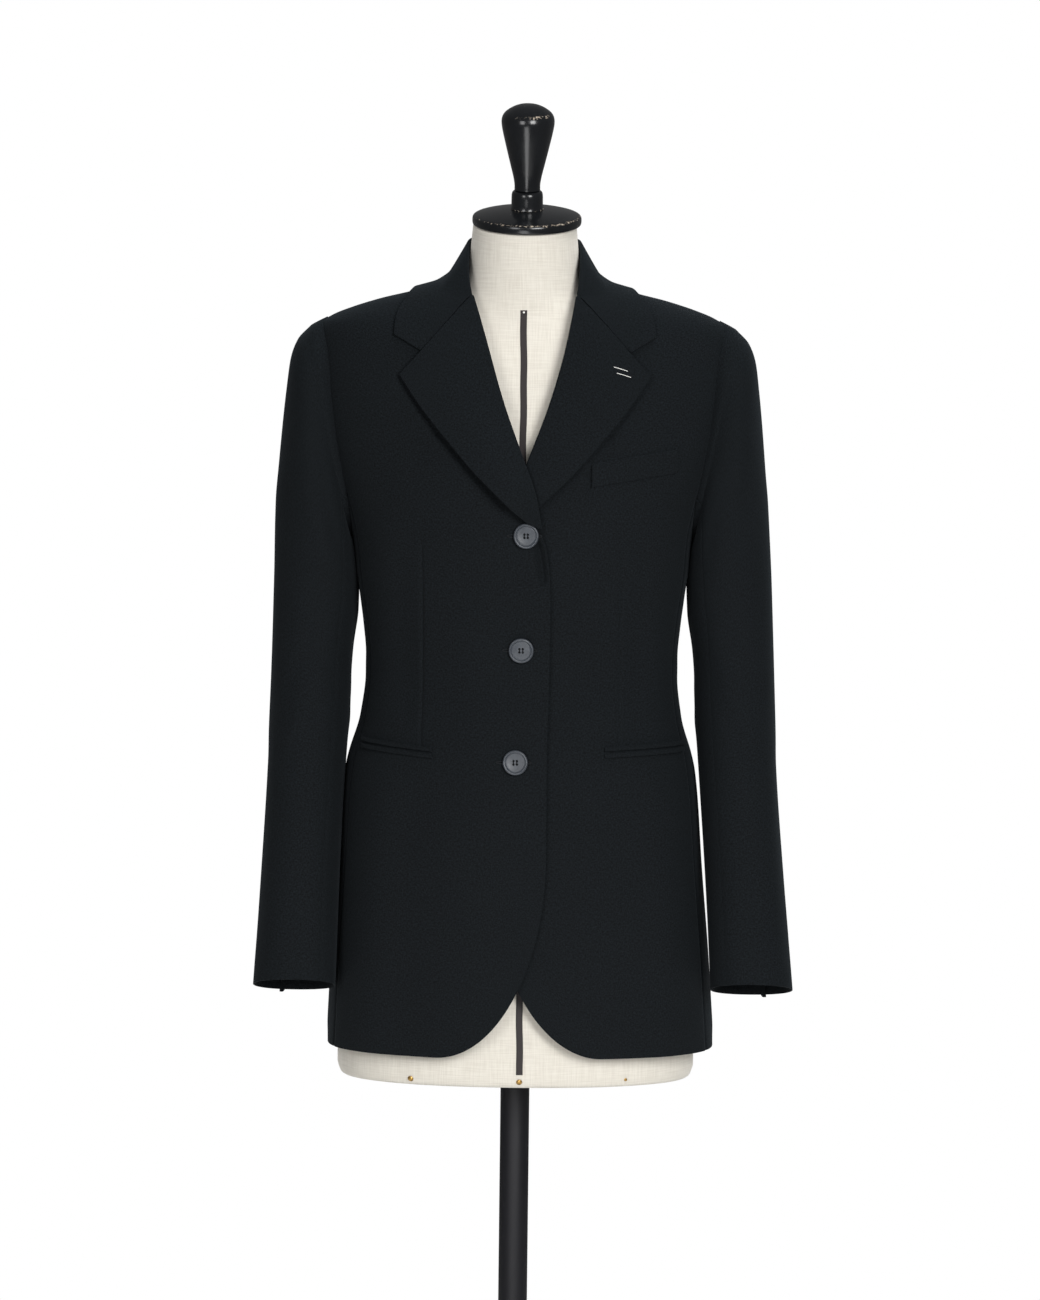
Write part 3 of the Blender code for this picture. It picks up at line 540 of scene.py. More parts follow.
# How far the blazer hangs to the wearer's left on its form.
SWAY = (
    # height, centre, side
    (0.5755, 0.0020, 0.0045),
    (0.760, 0.0000, 0.0022),
    (0.868, -0.0005, 0.0015),
    (0.955, 0.0010, 0.0018),
    (1.040, 0.0010, 0.0015),
    (1.100, 0.0015, 0.0005),
    (1.150, 0.0030, 0.0000),
    (1.260, 0.0045, 0.0000),
    (1.300, 0.0030, 0.0000),
    (1.345, 0.0000, 0.0000),
)
CLOTH = 0.0018              # suiting and canvas together
HEM_Z = 0.5755
ARMHOLE_TOP = 1.2985
ARMHOLE_BOTTOM = 1.0850
ARMHOLE_REACH = 0.0520
ARMHOLE_EGG = 0.86          # below 1, the armhole is fullest below its middle
SIDE_SEAM_FRONT = 73.0      # degrees round from the centre front
SIDE_SEAM_BACK = 112.0
BACK_SEAM = 179.93          # just short of the centre back, so that the two halves don't touch
NECK_END = 1.3360           # height at which the body panels end under the collar
# Soft ridges and troughs of the back, by place across and height: the shoulder blade, the strain at
# the waist and the flare of the skirt.
BACK_DRAPE = (
    # start_x, start_z, end_x, end_z, width, rise
    (0.078, 1.205, 0.085, 1.120, 0.042, 0.0030),
    (0.030, 1.010, 0.120, 0.985, 0.016, -0.0012),
    (0.050, 0.968, 0.130, 0.946, 0.013, 0.0011),
    (0.012, 0.930, 0.090, 0.915, 0.012, -0.0009),
    (0.062, 0.860, 0.074, 0.600, 0.024, 0.0022),
    (0.105, 0.840, 0.120, 0.590, 0.020, -0.0018),
    (0.026, 0.800, 0.030, 0.600, 0.018, -0.0012),
)
SIDE_DRAPE = (
    # start_x, start_z, end_x, end_z, width, rise
    (-0.020, 1.040, 0.030, 1.010, 0.014, -0.0010),
    (-0.030, 0.960, 0.025, 0.948, 0.012, 0.0008),
    (0.004, 0.850, 0.008, 0.600, 0.020, 0.0020),
)


def relief(lines, across, height):
    """How far the cloth stands out at a place, from a table of soft lines."""
    total = 0.0
    for start_x, start_z, end_x, end_z, width, rise in lines:
        run_x, run_z = end_x - start_x, end_z - start_z
        to_x, to_z = across - start_x, height - start_z
        part = within((to_x * run_x + to_z * run_z) / (run_x * run_x + run_z * run_z))
        away = math.hypot(to_x - run_x * part, to_z - run_z * part) / width
        total += rise * math.exp(-away * away)
    return total


def turn_at_depth(depth, height, back):
    """The turn at which the body is this deep, before or behind its widest point."""
    _, _, front, behind, square = eased(BODY_RINGS, height)
    part = min(max(depth, 0.0) / (behind if back else front), 1.0)
    lean = math.degrees(math.acos(part ** (square / 2)))
    return 180.0 - lean if back else lean


def armhole_depth(height):
    """Half the armhole, front to back, at a height: an egg, fullest below its middle."""
    climb = within((height - ARMHOLE_BOTTOM) / (ARMHOLE_TOP - ARMHOLE_BOTTOM)) ** ARMHOLE_EGG
    return ARMHOLE_REACH * math.sqrt(max(0.0, 1 - (2 * climb - 1) ** 2))


def armhole_height(depth):
    """The height of the lower part of the armhole where it is this deep."""
    share = min(depth / ARMHOLE_REACH, 0.985)
    climb = 0.5 - 0.5 * math.sqrt(1 - share * share)
    return ARMHOLE_BOTTOM + climb ** (1 / ARMHOLE_EGG) * (ARMHOLE_TOP - ARMHOLE_BOTTOM)


def outer_turn(height, back):
    """Where the left front or back ends on its outer side: side seam, armhole, then shoulder seam."""
    side_seam = SIDE_SEAM_BACK if back else SIDE_SEAM_FRONT
    if height >= ARMHOLE_TOP - 0.0005:
        return 90.0
    turn = turn_at_depth(max(armhole_depth(height), 0.0003), height, back)
    if height > 1.19:
        return turn
    return max(turn, side_seam) if back else min(turn, side_seam)


def on_body(turn, height, out):
    """A point of the blazer's body, moved out from its cloth."""
    return ring_point(BODY_RINGS, turn, height) + ring_normal(BODY_RINGS, turn, height) * out


def sway(point):
    """The same point with the blazer's sideways hang added."""
    _, centre, side = eased(SWAY, point.z)
    half_width = eased(BODY_RINGS, point.z)[1]
    out = min(abs(point.x) / half_width, 1.0)
    return point + Vector((centre + (side - centre) * out, 0, 0))


def on_side(rows, side):
    """Rows made for the wearer's left, placed on the left (1) or mirrored to the right (-1)."""
    if side > 0:
        return [[sway(p) for p in row] for row in rows]
    return [[sway(Vector((-p.x, p.y, p.z))) for p in reversed(row)] for row in rows]


def gathered(count):
    """Places from 0 to 1 that lie closer together near both ends."""
    return [0.4 * t + 0.6 * (0.5 - 0.5 * math.cos(math.pi * t)) for t in spread(0, 1, count)]


def seam_roll(row, first=True, last=True):
    """The dip beside the seams at the two ends of a row of points."""
    run = distances(row)
    dips = []
    for here in run:
        dip = seam_dip(here) if first else 0.0
        dips.append(dip + (seam_dip(run[-1] - here) if last else 0.0))
    return dips


def cloth_rows(turns_at, heights, drape, by_depth=False):
    """Rows of one body panel from its turns at each height, with its drape and its seams.

    The drape is placed by x, or by y on a panel that faces the side.
    """
    rows = []
    for height in heights:
        turns = turns_at(height)
        flat = [ring_point(BODY_RINGS, turn, height) for turn in turns]
        row = []
        for turn, point, dip in zip(turns, flat, seam_roll(flat)):
            across = point.y if by_depth else point.x
            row.append(on_body(turn, height, dip + relief(drape, across, height)))
        rows.append(row)
    return rows


BODY_HEIGHTS = [HEM_Z + step for step in (0.0, 0.0008, 0.002, 0.004)] + spread(0.5850, 1.2960, 150)
BODY_HEIGHTS += [1.2972, ARMHOLE_TOP - 0.0006, ARMHOLE_TOP] + spread(1.3005, NECK_END, 26)


def back_turns(height):
    """Turns of the left back at a height, from the outer seam to the centre back seam."""
    start = outer_turn(height, back=True)
    return [start + (BACK_SEAM - start) * part for part in gathered(64)]


PANEL_TOP = 1.0450          # above this the side panel's rows follow the bottom of the armhole


def side_panel_rows():
    """Rows of the left side panel, with the bottom of the armhole along its top."""
    turns = [SIDE_SEAM_FRONT + (SIDE_SEAM_BACK - SIDE_SEAM_FRONT) * part for part in gathered(44)]
    heights = [z for z in BODY_HEIGHTS if z < PANEL_TOP]
    rows = cloth_rows(lambda height: turns, heights, SIDE_DRAPE, by_depth=True)
    edge_dips = seam_roll([ring_point(BODY_RINGS, turn, PANEL_TOP) for turn in turns])
    tops = [armhole_height(abs(ring_point(BODY_RINGS, turn, 1.11).y)) for turn in turns]
    for climb in spread(0.0, 1.0, 12):
        row = []
        for turn, top, dip in zip(turns, tops, edge_dips):
            height = PANEL_TOP + (top - PANEL_TOP) * climb
            row.append(on_body(turn, height, dip + seam_dip(top - height)))
        rows.append(row)
    return rows


suiting, tree = new_material("black_wool_plain_weave_suiting", roughness=0.9, specular_ior_level=0.12,
                             sheen_weight=0.07, sheen_roughness=0.5, sheen_tint=linear("#8e9aa3"))
# Threads are 0.45 mm apart in the real cloth; the melange is drawn at 1.1 mm so that it shows.
SUITING_GRAIN = 1 / 0.0011
weave_map = add_node(tree, "ShaderNodeUVMap", uv_map="weave").outputs["UV"]
threads = crossed_threads(tree, weave_map, SUITING_GRAIN, SUITING_GRAIN * 0.45, 3.0)
melange = colour_mix(tree, stretched(tree, threads, from_min=0.8, from_max=1.25), "#060809", "#1b2024")
cloudy = colour_mix(tree, noise(tree, weave_map, 14.0, 4.0), "#0c0f11", "#15191c")
feed(tree, "Base Color", colour_mix(tree, 0.35, melange, cloudy))
raise_grain(tree, threads, 0.7, 0.0003)


def sewn(name, node, rows, thick=CLOTH, round_off=0.0006):
    """A finished piece of suiting from the rows of its outer face."""
    piece = woven_grid(name, rows)
    thicken(piece, thick, round_off)
    settle(piece, suiting, "suiting", node)
    return piece


SIDES = ((1, "left"), (-1, "right"))
for side, wearer in SIDES:
    panel = sewn("back_panel_" + wearer, "back_" + wearer,
                 on_side(cloth_rows(back_turns, BODY_HEIGHTS, BACK_DRAPE), side))
    panel = sewn("underarm_panel_" + wearer, "side_panel_" + wearer, on_side(side_panel_rows(), side))

# ---- fronts ---------------------------------------------------------------------------------------
# The two fronts carry canvas, so they are smooth over the chest. Each has one long dart down to its
# pocket, a pressed front edge and a rounded lower corner. The right one laps over the left one.
LAP = 0.0275                # each front runs on this far past the centre
LAP_FADE = 0.0850           # the right front comes back to the form over this width
BREAK_Z = 1.0980            # where the front edge turns into the lapel
CORNER_WIDTH = 0.110
CORNER_HEIGHT = 0.200
LAP_LIFT = (
    # height, lift
    (0.5755, 0.0060),
    (1.040, 0.0062),
    (1.085, 0.0082),
    (1.130, 0.0090),
    (1.170, 0.0060),
    (1.210, 0.0025),
    (1.250, 0.0000),
)
ROLL_LINE = ((-0.0160, 1.0970), (-0.0080, 1.1290), (0.0036, 1.1600), (0.0245, 1.2170), (0.0365, 1.2580),
             (0.0525, 1.3215))
# The front edge is drawn back toward the fastened top button.
FRONT_EDGE = (
    # height, x
    (0.900, -LAP),
    (1.020, -0.0280),
    (1.060, -0.0253),
    (1.080, -0.0217),
    (1.098, -0.0150),
)
DART_X = 0.0975
DART_TOP = 1.0900
DART_FOOT = 0.8830
DART_DEPTH = {"left": 0.0009, "right": 0.0017}        # the right one is sunk deeper
FRONT_DRAPE = (
    # start_x, start_z, end_x, end_z, width, rise
    (0.082, 1.140, 0.088, 1.075, 0.045, 0.0026),
    (0.134, 1.090, 0.134, 0.900, 0.016, 0.0022),
    (0.118, 1.060, 0.114, 0.910, 0.009, -0.0010),
    (0.030, 1.010, 0.085, 1.040, 0.016, -0.0008),
    (0.020, 0.955, 0.105, 0.935, 0.014, -0.0007),
    (0.136, 0.840, 0.150, 0.600, 0.018, 0.0024),
    (0.104, 0.820, 0.112, 0.600, 0.024, -0.0012),
    (0.055, 0.800, 0.070, 0.620, 0.028, 0.0012),
)
# The chest gives way a little under the edge of each lapel.
LAPEL_PRINT = (
    # start_x, start_z, end_x, end_z, width, rise
    (0.0200, 1.1195, 0.0850, 1.1880, 0.0032, -0.0030),
    (0.0850, 1.1880, 0.1225, 1.2410, 0.0032, -0.0026),
)
# The front is drawn in at the tacked end of the welt.
WELT_PRINT = (
    # start_x, start_z, end_x, end_z, width, rise
    (0.0640, 1.1340, 0.0638, 1.1560, 0.0022, -0.0022),
)
# Strain below the fastened top button, on the right front only.
BUTTON_DRAPE = (
    # start_x, start_z, end_x, end_z, width, rise
    (-0.0158, 1.0810, -0.0212, 1.0460, 0.0034, -0.0072),
    (-0.0070, 1.078, -0.0110, 1.050, 0.0050, 0.0012),
    (0.020, 0.981, 0.060, 0.990, 0.0090, -0.0006),
)


def roll_x(height):
    """How far from the centre the roll line of the left lapel is at a height."""
    return eased(tuple((z, x) for x, z in ROLL_LINE), height)[1]


def front_edge_x(height):
    """The free edge of the left front: the front edge, then the roll line and the neck seam."""
    if height < BREAK_Z:
        return eased(FRONT_EDGE, height)[1]
    if height <= ROLL_LINE[-1][1]:
        return roll_x(height) + 0.0015
    half_width = eased(BODY_RINGS, height)[1]
    return min(0.0560 + (height - ROLL_LINE[-1][1]) * 0.8, half_width * 0.94)


def round_corner(i, j):
    """Move a point of the unit square so that its corner at 0, 0 becomes a quarter of an oval."""
    side, up = 1 - i, 1 - j
    return 1 - side * math.sqrt(1 - up * up / 2), 1 - up * math.sqrt(1 - side * side / 2)


def lap_lift(point):
    """A point of the right front, moved forward where it laps over the left one."""
    fade = within((point.x - LAP) / LAP_FADE)
    lift = eased(LAP_LIFT, point.z)[1] * (1 - fade * fade * (3 - 2 * fade))
    return point + Vector((0, -lift, 0))


def on_front_side(rows, side):
    """Rows of a front, or of what is sewn on it, on its side; those on the right are lapped over."""
    return on_side(rows if side > 0 else [[lap_lift(p) for p in row] for row in rows], side)


def dart_dip(x, height, depth):
    """The sunk line of the dart, which fades out at its top and stops at the pocket."""
    if height > DART_TOP + 0.02:
        return 0.0
    fade = within((DART_TOP + 0.004 - height) / 0.03) * within((height - DART_FOOT + 0.004) / 0.004)
    return -depth * fade * math.exp(-((x - DART_X) / 0.0013) ** 2)


def front_rows(drape, dart_depth):
    """Rows of the left front, from the hem to the neck."""
    rows = []
    for height in BODY_HEIGHTS:
        start = turn_at_x(BODY_RINGS, front_edge_x(height), height)
        end = outer_turn(height, back=False)
        dart = turn_at_x(BODY_RINGS, DART_X, height)
        dart = within(dart, start + (end - start) * 0.35, start + (end - start) * 0.68)
        turns = [start + (dart - start) * part for part in gathered(52)]
        turns += [dart + (end - dart) * part for part in gathered(36)[1:]]
        flat = [ring_point(BODY_RINGS, turn, height) for turn in turns]
        dips = seam_roll(flat, first=False)
        row = []
        for turn, point, dip in zip(turns, flat, dips):
            z = height
            if z < HEM_Z + CORNER_HEIGHT and point.x < -LAP + CORNER_WIDTH:
                i = max((point.x + LAP) / CORNER_WIDTH, 0.0)
                i, j = round_corner(i, (z - HEM_Z) / CORNER_HEIGHT)
                z = HEM_Z + j * CORNER_HEIGHT
                turn = turn_at_x(BODY_RINGS, -LAP + i * CORNER_WIDTH, z)
            x = ring_point(BODY_RINGS, turn, z).x
            row.append(on_body(turn, z, dip + relief(drape, x, z) + dart_dip(x, z, dart_depth)))
        rows.append(row)
    return rows


def on_front(x, height, out, drape=FRONT_DRAPE):
    """A point on the front of the blazer seen at x, moved out from the cloth."""
    turn = turn_at_x(BODY_RINGS, x, height)
    return on_body(turn, height, out + relief(drape, x, height))


for (side, wearer), own_drape in zip(SIDES, (WELT_PRINT, BUTTON_DRAPE)):
    rows = front_rows(FRONT_DRAPE + LAPEL_PRINT + own_drape, DART_DEPTH[wearer])
    sewn("front_panel_" + wearer, "front_" + wearer, on_front_side(rows, side))


# ---- pockets --------------------------------------------------------------------------------------
# The breast welt is a folded band sewn down on three sides. Each hip pocket is cut straight through
# the front and bound by two narrow jets whose lips meet, with a tacked end at each side.
WELT_FOOT = ((0.0655, 1.1365), (0.1505, 1.1515))
WELT_RISE = 0.0230          # height of the welt above its foot
WELT_OUT = 0.0027
WELT_THICK = 0.0019
JET_ENDS = {"left": ((0.0830, 0.8768), (0.1610, 0.8792)), "right": ((0.0850, 0.8745), (0.1560, 0.8800))}
JET_OUT = 0.0031
JET_THICK = 0.0024
JET_GAP = 0.0010            # half of the slit between the lips
JET_RISE = 0.0054           # outer edge of a jet above or below the slit's middle


def band_rows(ends, low, high, out, count):
    """Rows of a narrow band between two ends, crowned across and rolled down at its edges."""
    (start_x, start_z), (end_x, end_z) = ends
    rows = []
    for up in spread(0, 1, count):
        row = []
        for part in gathered(70):
            x = start_x + (end_x - start_x) * part
            z = start_z + (end_z - start_z) * part + low + (high - low) * up
            rim = min(up, 1 - up) * (high - low)
            tip = min(part, 1 - part) * abs(end_x - start_x)
            rolled = 0.0007 * math.exp(-rim / 0.0011) + 0.0006 * math.exp(-tip / 0.0010)
            row.append(on_front(x, z, out - rolled))
        rows.append(row)
    return rows


welt_rows = band_rows(WELT_FOOT, 0.0, WELT_RISE, WELT_OUT, 26)
welt = sewn("breast_pocket_welt", "breast_welt", on_side(welt_rows, 1), WELT_THICK)
pocket_bands = {"left": [welt], "right": []}
for side, wearer in SIDES:
    for lip, low, high in (("upper_", JET_GAP, JET_RISE), ("lower_", -JET_RISE, -JET_GAP)):
        rows = band_rows(JET_ENDS[wearer], low, high, JET_OUT, 12)
        pocket_bands[wearer].append(sewn("hip_jet_" + lip + wearer, "pocket_jet_" + lip + wearer,
                                         on_front_side(rows, side), JET_THICK, 0.0004))

# ---- lapels ---------------------------------------------------------------------------------------
# Each lapel is the front's own cloth turned back along the roll line, backed and pressed. The left
# one lies close to the chest. The right one is held by the top button, so its lower half stands off.
LAPEL_EDGE = ((-0.0035, 1.1022), (0.0215, 1.1235), (0.0440, 1.1450), (0.0830, 1.1900), (0.1040, 1.2170),
              (0.1213, 1.2430))
LAPEL_THICK = 0.0017
LAPEL_BED = 0.0024          # outer face of a flat lapel above the chest
ROLL_RADIUS = 0.0023
LAPEL_STAND = {
    # share of the way up, how far the lapel stands off the chest
    "left": ((0.0, 0.0018), (0.3, 0.0034), (0.7, 0.0042), (1.0, 0.0044)),
    "right": ((0.0, 0.0050), (0.08, 0.0105), (0.22, 0.0150), (0.45, 0.0120), (0.7, 0.0068), (1.0, 0.0046)),
}


def between(points, part):
    """A point part of the way along a smooth line through points of any size."""
    table = tuple((i / (len(points) - 1), *point) for i, point in enumerate(points))
    return eased(table, part)[1:]


def lapel_rows(stand):
    """Rows of the left lapel, from the break to the gorge, rolled over along the roll line."""
    rows = []
    for up in spread(0.0, 1.0, 84):
        roll_point, edge_point = between(ROLL_LINE, up), between(LAPEL_EDGE, up)
        lift = eased(stand, up)[1]
        start_out = LAPEL_BED + lift * 0.19
        radius = max(ROLL_RADIUS, (start_out + CLOTH) / 2)
        row = []
        for lap in spread(265.0, 100.0, 12):
            swing = math.radians(lap)
            x = roll_point[0] + radius * math.cos(swing)
            row.append(on_front(x, roll_point[1], start_out - radius + radius * math.sin(swing), ()))
        for part in gathered(46):
            x = roll_point[0] + (edge_point[0] - roll_point[0]) * part
            z = roll_point[1] + (edge_point[1] - roll_point[1]) * part
            crown = lift * math.sin(math.pi * min(part * 1.25 + 0.12, 1.0) * 0.5)
            row.append(on_front(x, z, LAPEL_BED + crown, ()))
        rows.append(row)
    return rows


for side, wearer in SIDES:
    lapel = sewn("lapel_facing_" + wearer, "lapel_" + wearer,
                 on_front_side(lapel_rows(LAPEL_STAND[wearer]), side), LAPEL_THICK)

# ---- collar ---------------------------------------------------------------------------------------
# One piece of undercollar and top collar, folded over a stand of the same cloth. The fall covers the
# neck seam and lies on the shoulders; its gorge ends are sewn to the lapels as far as the notches.
COLLAR_SECTIONS = (
    # fold_x, fold_y, fold_z, middle_x, middle_y, middle_z, edge_x, edge_y, edge_z
    (0.0535, -0.0520, 1.3222, 0.1022, -0.0700, 1.2672, 0.1282, -0.0700, 1.2825),
    (0.0555, -0.0460, 1.3330, 0.0985, -0.0620, 1.2930, 0.1270, -0.0620, 1.2950),
    (0.0570, -0.0350, 1.3465, 0.0920, -0.0480, 1.3130, 0.1225, -0.0480, 1.3080),
    (0.0578, -0.0190, 1.3620, 0.0815, -0.0280, 1.3345, 0.1130, -0.0260, 1.3205),
    (0.0580, 0.0000, 1.3730, 0.0765, -0.0010, 1.3440, 0.1060, 0.0040, 1.3280),
    (0.0560, 0.0200, 1.3790, 0.0725, 0.0290, 1.3490, 0.0950, 0.0360, 1.3300),
    (0.0460, 0.0400, 1.3825, 0.0600, 0.0520, 1.3535, 0.0725, 0.0590, 1.3315),
    (0.0250, 0.0540, 1.3845, 0.0315, 0.0670, 1.3550, 0.0370, 0.0735, 1.3300),
    (0.0000, 0.0585, 1.3850, 0.0000, 0.0715, 1.3555, 0.0000, 0.0775, 1.3295),
)
COLLAR_LIFT = 0.0040        # outer face of the fall above the shoulders
CHEST_TOP = 1.3185          # below this the front of the collar lies on the chest
FOLD_RADIUS = 0.0018
STAND_THICK = 0.0012
STAND_DEEP = 0.036          # from the fold down to the neck seam
STAND_LOWEST = 1.3260
STAND_FROM = 22             # rows of the fall before the stand starts, at each end


@lru_cache(maxsize=None)
def body_top(x, y):
    """The height of the shoulders of the blazer above a place near the neck."""
    low, high = 1.26, BODY_RINGS[-1][0]
    for _ in range(18):
        middle = (low + high) / 2
        _, half_width, front, back, square = eased(BODY_RINGS, middle)
        share = (abs(x) / half_width) ** square + (abs(y) / (back if y > 0 else front)) ** square
        low, high = (middle, high) if share < 1 else (low, middle)
    return low


def clear_of_body(point, out):
    """A point of the collar, laid on the chest or lifted off the shoulders where it is too close."""
    if point.z < CHEST_TOP and point.y < 0:
        return on_front(point.x, point.z, out, ())
    return Vector((point.x, point.y, max(point.z, body_top(point.x, point.y) + out)))


def relax(rows, rounds):
    """Rows of points eased toward their neighbours, with the outline kept."""
    for _ in range(rounds):
        eased_rows = [list(row) for row in rows]
        for r in range(1, len(rows) - 1):
            for c in range(1, len(rows[0]) - 1):
                around = rows[r - 1][c] + rows[r + 1][c] + rows[r][c - 1] + rows[r][c + 1]
                eased_rows[r][c] = rows[r][c] * 0.4 + around * 0.15
        rows = eased_rows
    return rows


def collar_rows():
    """Rows of the collar fall from the right notch round the neck to the left notch, edge to fold."""
    whole = [[-v if i in (0, 3, 6) else v for i, v in enumerate(s)] for s in COLLAR_SECTIONS[:-1]]
    whole += list(COLLAR_SECTIONS)[::-1]
    rows = []
    for step in spread(0, 1, 150):
        numbers = between(whole, step)
        fold, middle, edge = [Vector(numbers[i:i + 3]) for i in (0, 3, 6)]
        row = []
        for part in spread(1, 0, 34):
            if part < 0.6:
                point = fold.lerp(middle, part / 0.6)
            else:
                point = middle.lerp(edge, (part - 0.6) / 0.4)
            row.append(sway(clear_of_body(point, COLLAR_LIFT)))
        rows.append(row)
    return relax(rows, 6)


def toward_neck(fold):
    """The level way from the fold of the collar to the middle of the neck."""
    return Vector((-fold.x, -fold.y, 0)).normalized()


fall = collar_rows()
rolled_fall = []
for row in fall:
    inward = toward_neck(row[-1])
    heart = row[-1] + inward * FOLD_RADIUS * 0.8 + Vector((0, 0, -FOLD_RADIUS * 0.6))
    roll = []
    for lap in spread(35.0, 215.0, 8):
        swing = math.radians(lap)
        upward = Vector((0, 0, FOLD_RADIUS * math.sin(swing)))
        roll.append(heart - inward * FOLD_RADIUS * math.cos(swing) + upward)
    rolled_fall.append(row[:-1] + roll)
collar = sewn("collar_fall", "collar", rolled_fall, LAPEL_THICK)
stand_rows = []
for row in fall[STAND_FROM:-STAND_FROM]:
    fold = row[-1]
    top = fold + toward_neck(fold) * 0.0016 + Vector((0, 0, -0.0020))
    low = Vector((fold.x * 1.07, fold.y * 1.05, max(STAND_LOWEST, fold.z - STAND_DEEP)))
    stand_rows.append([low.lerp(top, part) for part in spread(0, 1, 10)])
stand = sewn("collar_neck_stand", "collar_stand", stand_rows, STAND_THICK, 0.0004)

# ---- sleeves --------------------------------------------------------------------------------------
# Two-piece tailored sleeves: a wide top sleeve and a narrow under sleeve, set into the armhole over
# a soft roll of wadding. They hang empty, bend a little forward at the elbow and have a short vent.
SLEEVE_SECTIONS = (
    # outer_x, outer_z, inner_x, inner_z, half_depth, forward, pitch_degrees
    (0.2130, 1.2910, 0.1704, 1.0800, 0.0600, 0.000, 0),
    (0.2245, 1.2785, 0.1676, 1.0735, 0.0650, 0.000, 0),
    (0.2315, 1.2600, 0.1657, 1.0660, 0.0680, 0.000, 0),
    (0.2355, 1.2300, 0.1645, 1.0550, 0.0695, 0.000, 0),
    (0.2400, 1.1850, 0.1634, 1.0370, 0.0695, 0.000, 0),
    (0.2448, 1.1200, 0.1642, 1.0090, 0.0680, -0.001, 0),
    (0.2482, 1.0400, 0.1692, 0.9690, 0.0655, -0.002, 0),
    (0.2515, 0.9400, 0.1725, 0.9100, 0.0620, 0.004, 2),
    (0.2550, 0.8450, 0.1770, 0.8400, 0.0570, 0.017, 8),
    (0.2605, 0.7450, 0.1820, 0.7450, 0.0520, 0.041, 12),
    (0.2675, 0.6390, 0.1860, 0.6390, 0.0460, 0.066, 13),
)
SLEEVE_DRIFT = 0.0030       # both cuffs hang this far to the wearer's left
SLEEVE_SQUARE = 2.25
SLEEVE_FREE = 1.120         # the sleeves hang free below this height
SLEEVE_THICK = 0.0015
FOREARM_SEAM = 127.0        # turns of the two seams, from the outer side toward the front
FOREARM_ROLL = 0.4          # how much of the usual seam line shows at the stretched forearm seam
HINDARM_SEAM = 288.0
VENT_START = 10.2           # shape of the sleeve at which the cuff vent starts
HEAD_CROWN = 0.0030         # how far the wadding lifts the sleeve head beside the shoulder
SLEEVE_TUCK = 0.0035        # the seam allowance, turned in under the body
VENT_TUCK = 5.0             # degrees that the under sleeve runs on under the top sleeve at the vent
VENT_DEPTH = 0.0024
VENT_DROP = 0.0030          # the inner corner of the vent hangs this far below the cuff
SLEEVE_GIRTH = 0.0011       # metres round the sleeve for each degree of turn
# Soft drags of the hanging sleeve, by turn and height.
SLEEVE_DRAPE = (
    # start_turn, start_z, end_turn, end_z, width, rise
    (60, 1.185, 100, 1.060, 0.016, 0.0016),
    (84, 1.180, 112, 1.080, 0.012, -0.0014),
    (20, 1.120, 40, 0.960, 0.024, 0.0012),
    (96, 0.985, 60, 0.930, 0.012, -0.0013),
    (104, 0.945, 66, 0.885, 0.012, 0.0012),
    (100, 0.905, 70, 0.865, 0.010, -0.0010),
    (10, 0.860, 30, 0.690, 0.022, -0.0010),
    (-40, 1.170, -60, 1.040, 0.018, 0.0018),
    (-62, 1.160, -84, 1.030, 0.014, -0.0014),
    (-50, 0.960, -80, 0.900, 0.014, 0.0012),
    (-60, 0.860, -70, 0.700, 0.018, -0.0012),
    (160, 1.030, 180, 0.950, 0.014, -0.0010),
    (190, 0.900, 230, 0.860, 0.012, 0.0010),
)


def armhole_point(turn):
    """A point on the seam of the left armhole; turn is 0 at the top and 90 at the front."""
    middle = (ARMHOLE_TOP + ARMHOLE_BOTTOM) / 2
    reach = (ARMHOLE_TOP - ARMHOLE_BOTTOM) / 2
    height = middle + reach * math.cos(math.radians(turn))
    ring_turn = turn_at_depth(armhole_depth(height), height, math.sin(math.radians(turn)) < 0)
    return ring_point(BODY_RINGS, ring_turn, height)


def oval_point(section, turn, side):
    """A point on one oval of a sleeve; turn is 0 at its outer side and 90 at its front."""
    outer_x, outer_z, inner_x, inner_z, half_depth, forward, pitch = section
    middle = Vector(((outer_x + inner_x) / 2, -forward, (outer_z + inner_z) / 2))
    across = Vector(((outer_x - inner_x) / 2, 0, (outer_z - inner_z) / 2))
    angle = math.radians(turn)
    power = 2 / SLEEVE_SQUARE
    lean = math.radians(pitch)
    ahead = Vector((0, -math.cos(lean), math.sin(lean))) * half_depth
    point = middle + across * squared(math.cos(angle), power) + ahead * squared(math.sin(angle), power)
    hang = within((SLEEVE_FREE - point.z) / 0.42)
    point.x += side * (SLEEVE_DRIFT * hang + eased(SWAY, point.z)[2])
    return point


def sleeve_point(shape, turn, side):
    """A point of a sleeve's face; shape is 0 at the armhole, 1 at the first oval and 11 at the cuff."""
    if shape >= 1:
        return oval_point(between(SLEEVE_SECTIONS, (shape - 1) / (len(SLEEVE_SECTIONS) - 1)), turn, side)
    head = oval_point(SLEEVE_SECTIONS[0], turn, side)
    seam = armhole_point(turn) + Vector((-SLEEVE_TUCK, 0, 0))
    # The cloth leaves the seam steeply and rounds over the wadding.
    round_over = math.sin(shape * math.pi / 2)
    upper = max(math.cos(math.radians(turn)), 0.0)
    crown = HEAD_CROWN * min(shape / 0.06, 1.0) * math.sqrt(1 - shape) * upper
    return Vector((seam.x + (head.x - seam.x) * shape, seam.y + (head.y - seam.y) * round_over,
                   seam.z + (head.z - seam.z) * shape + crown))


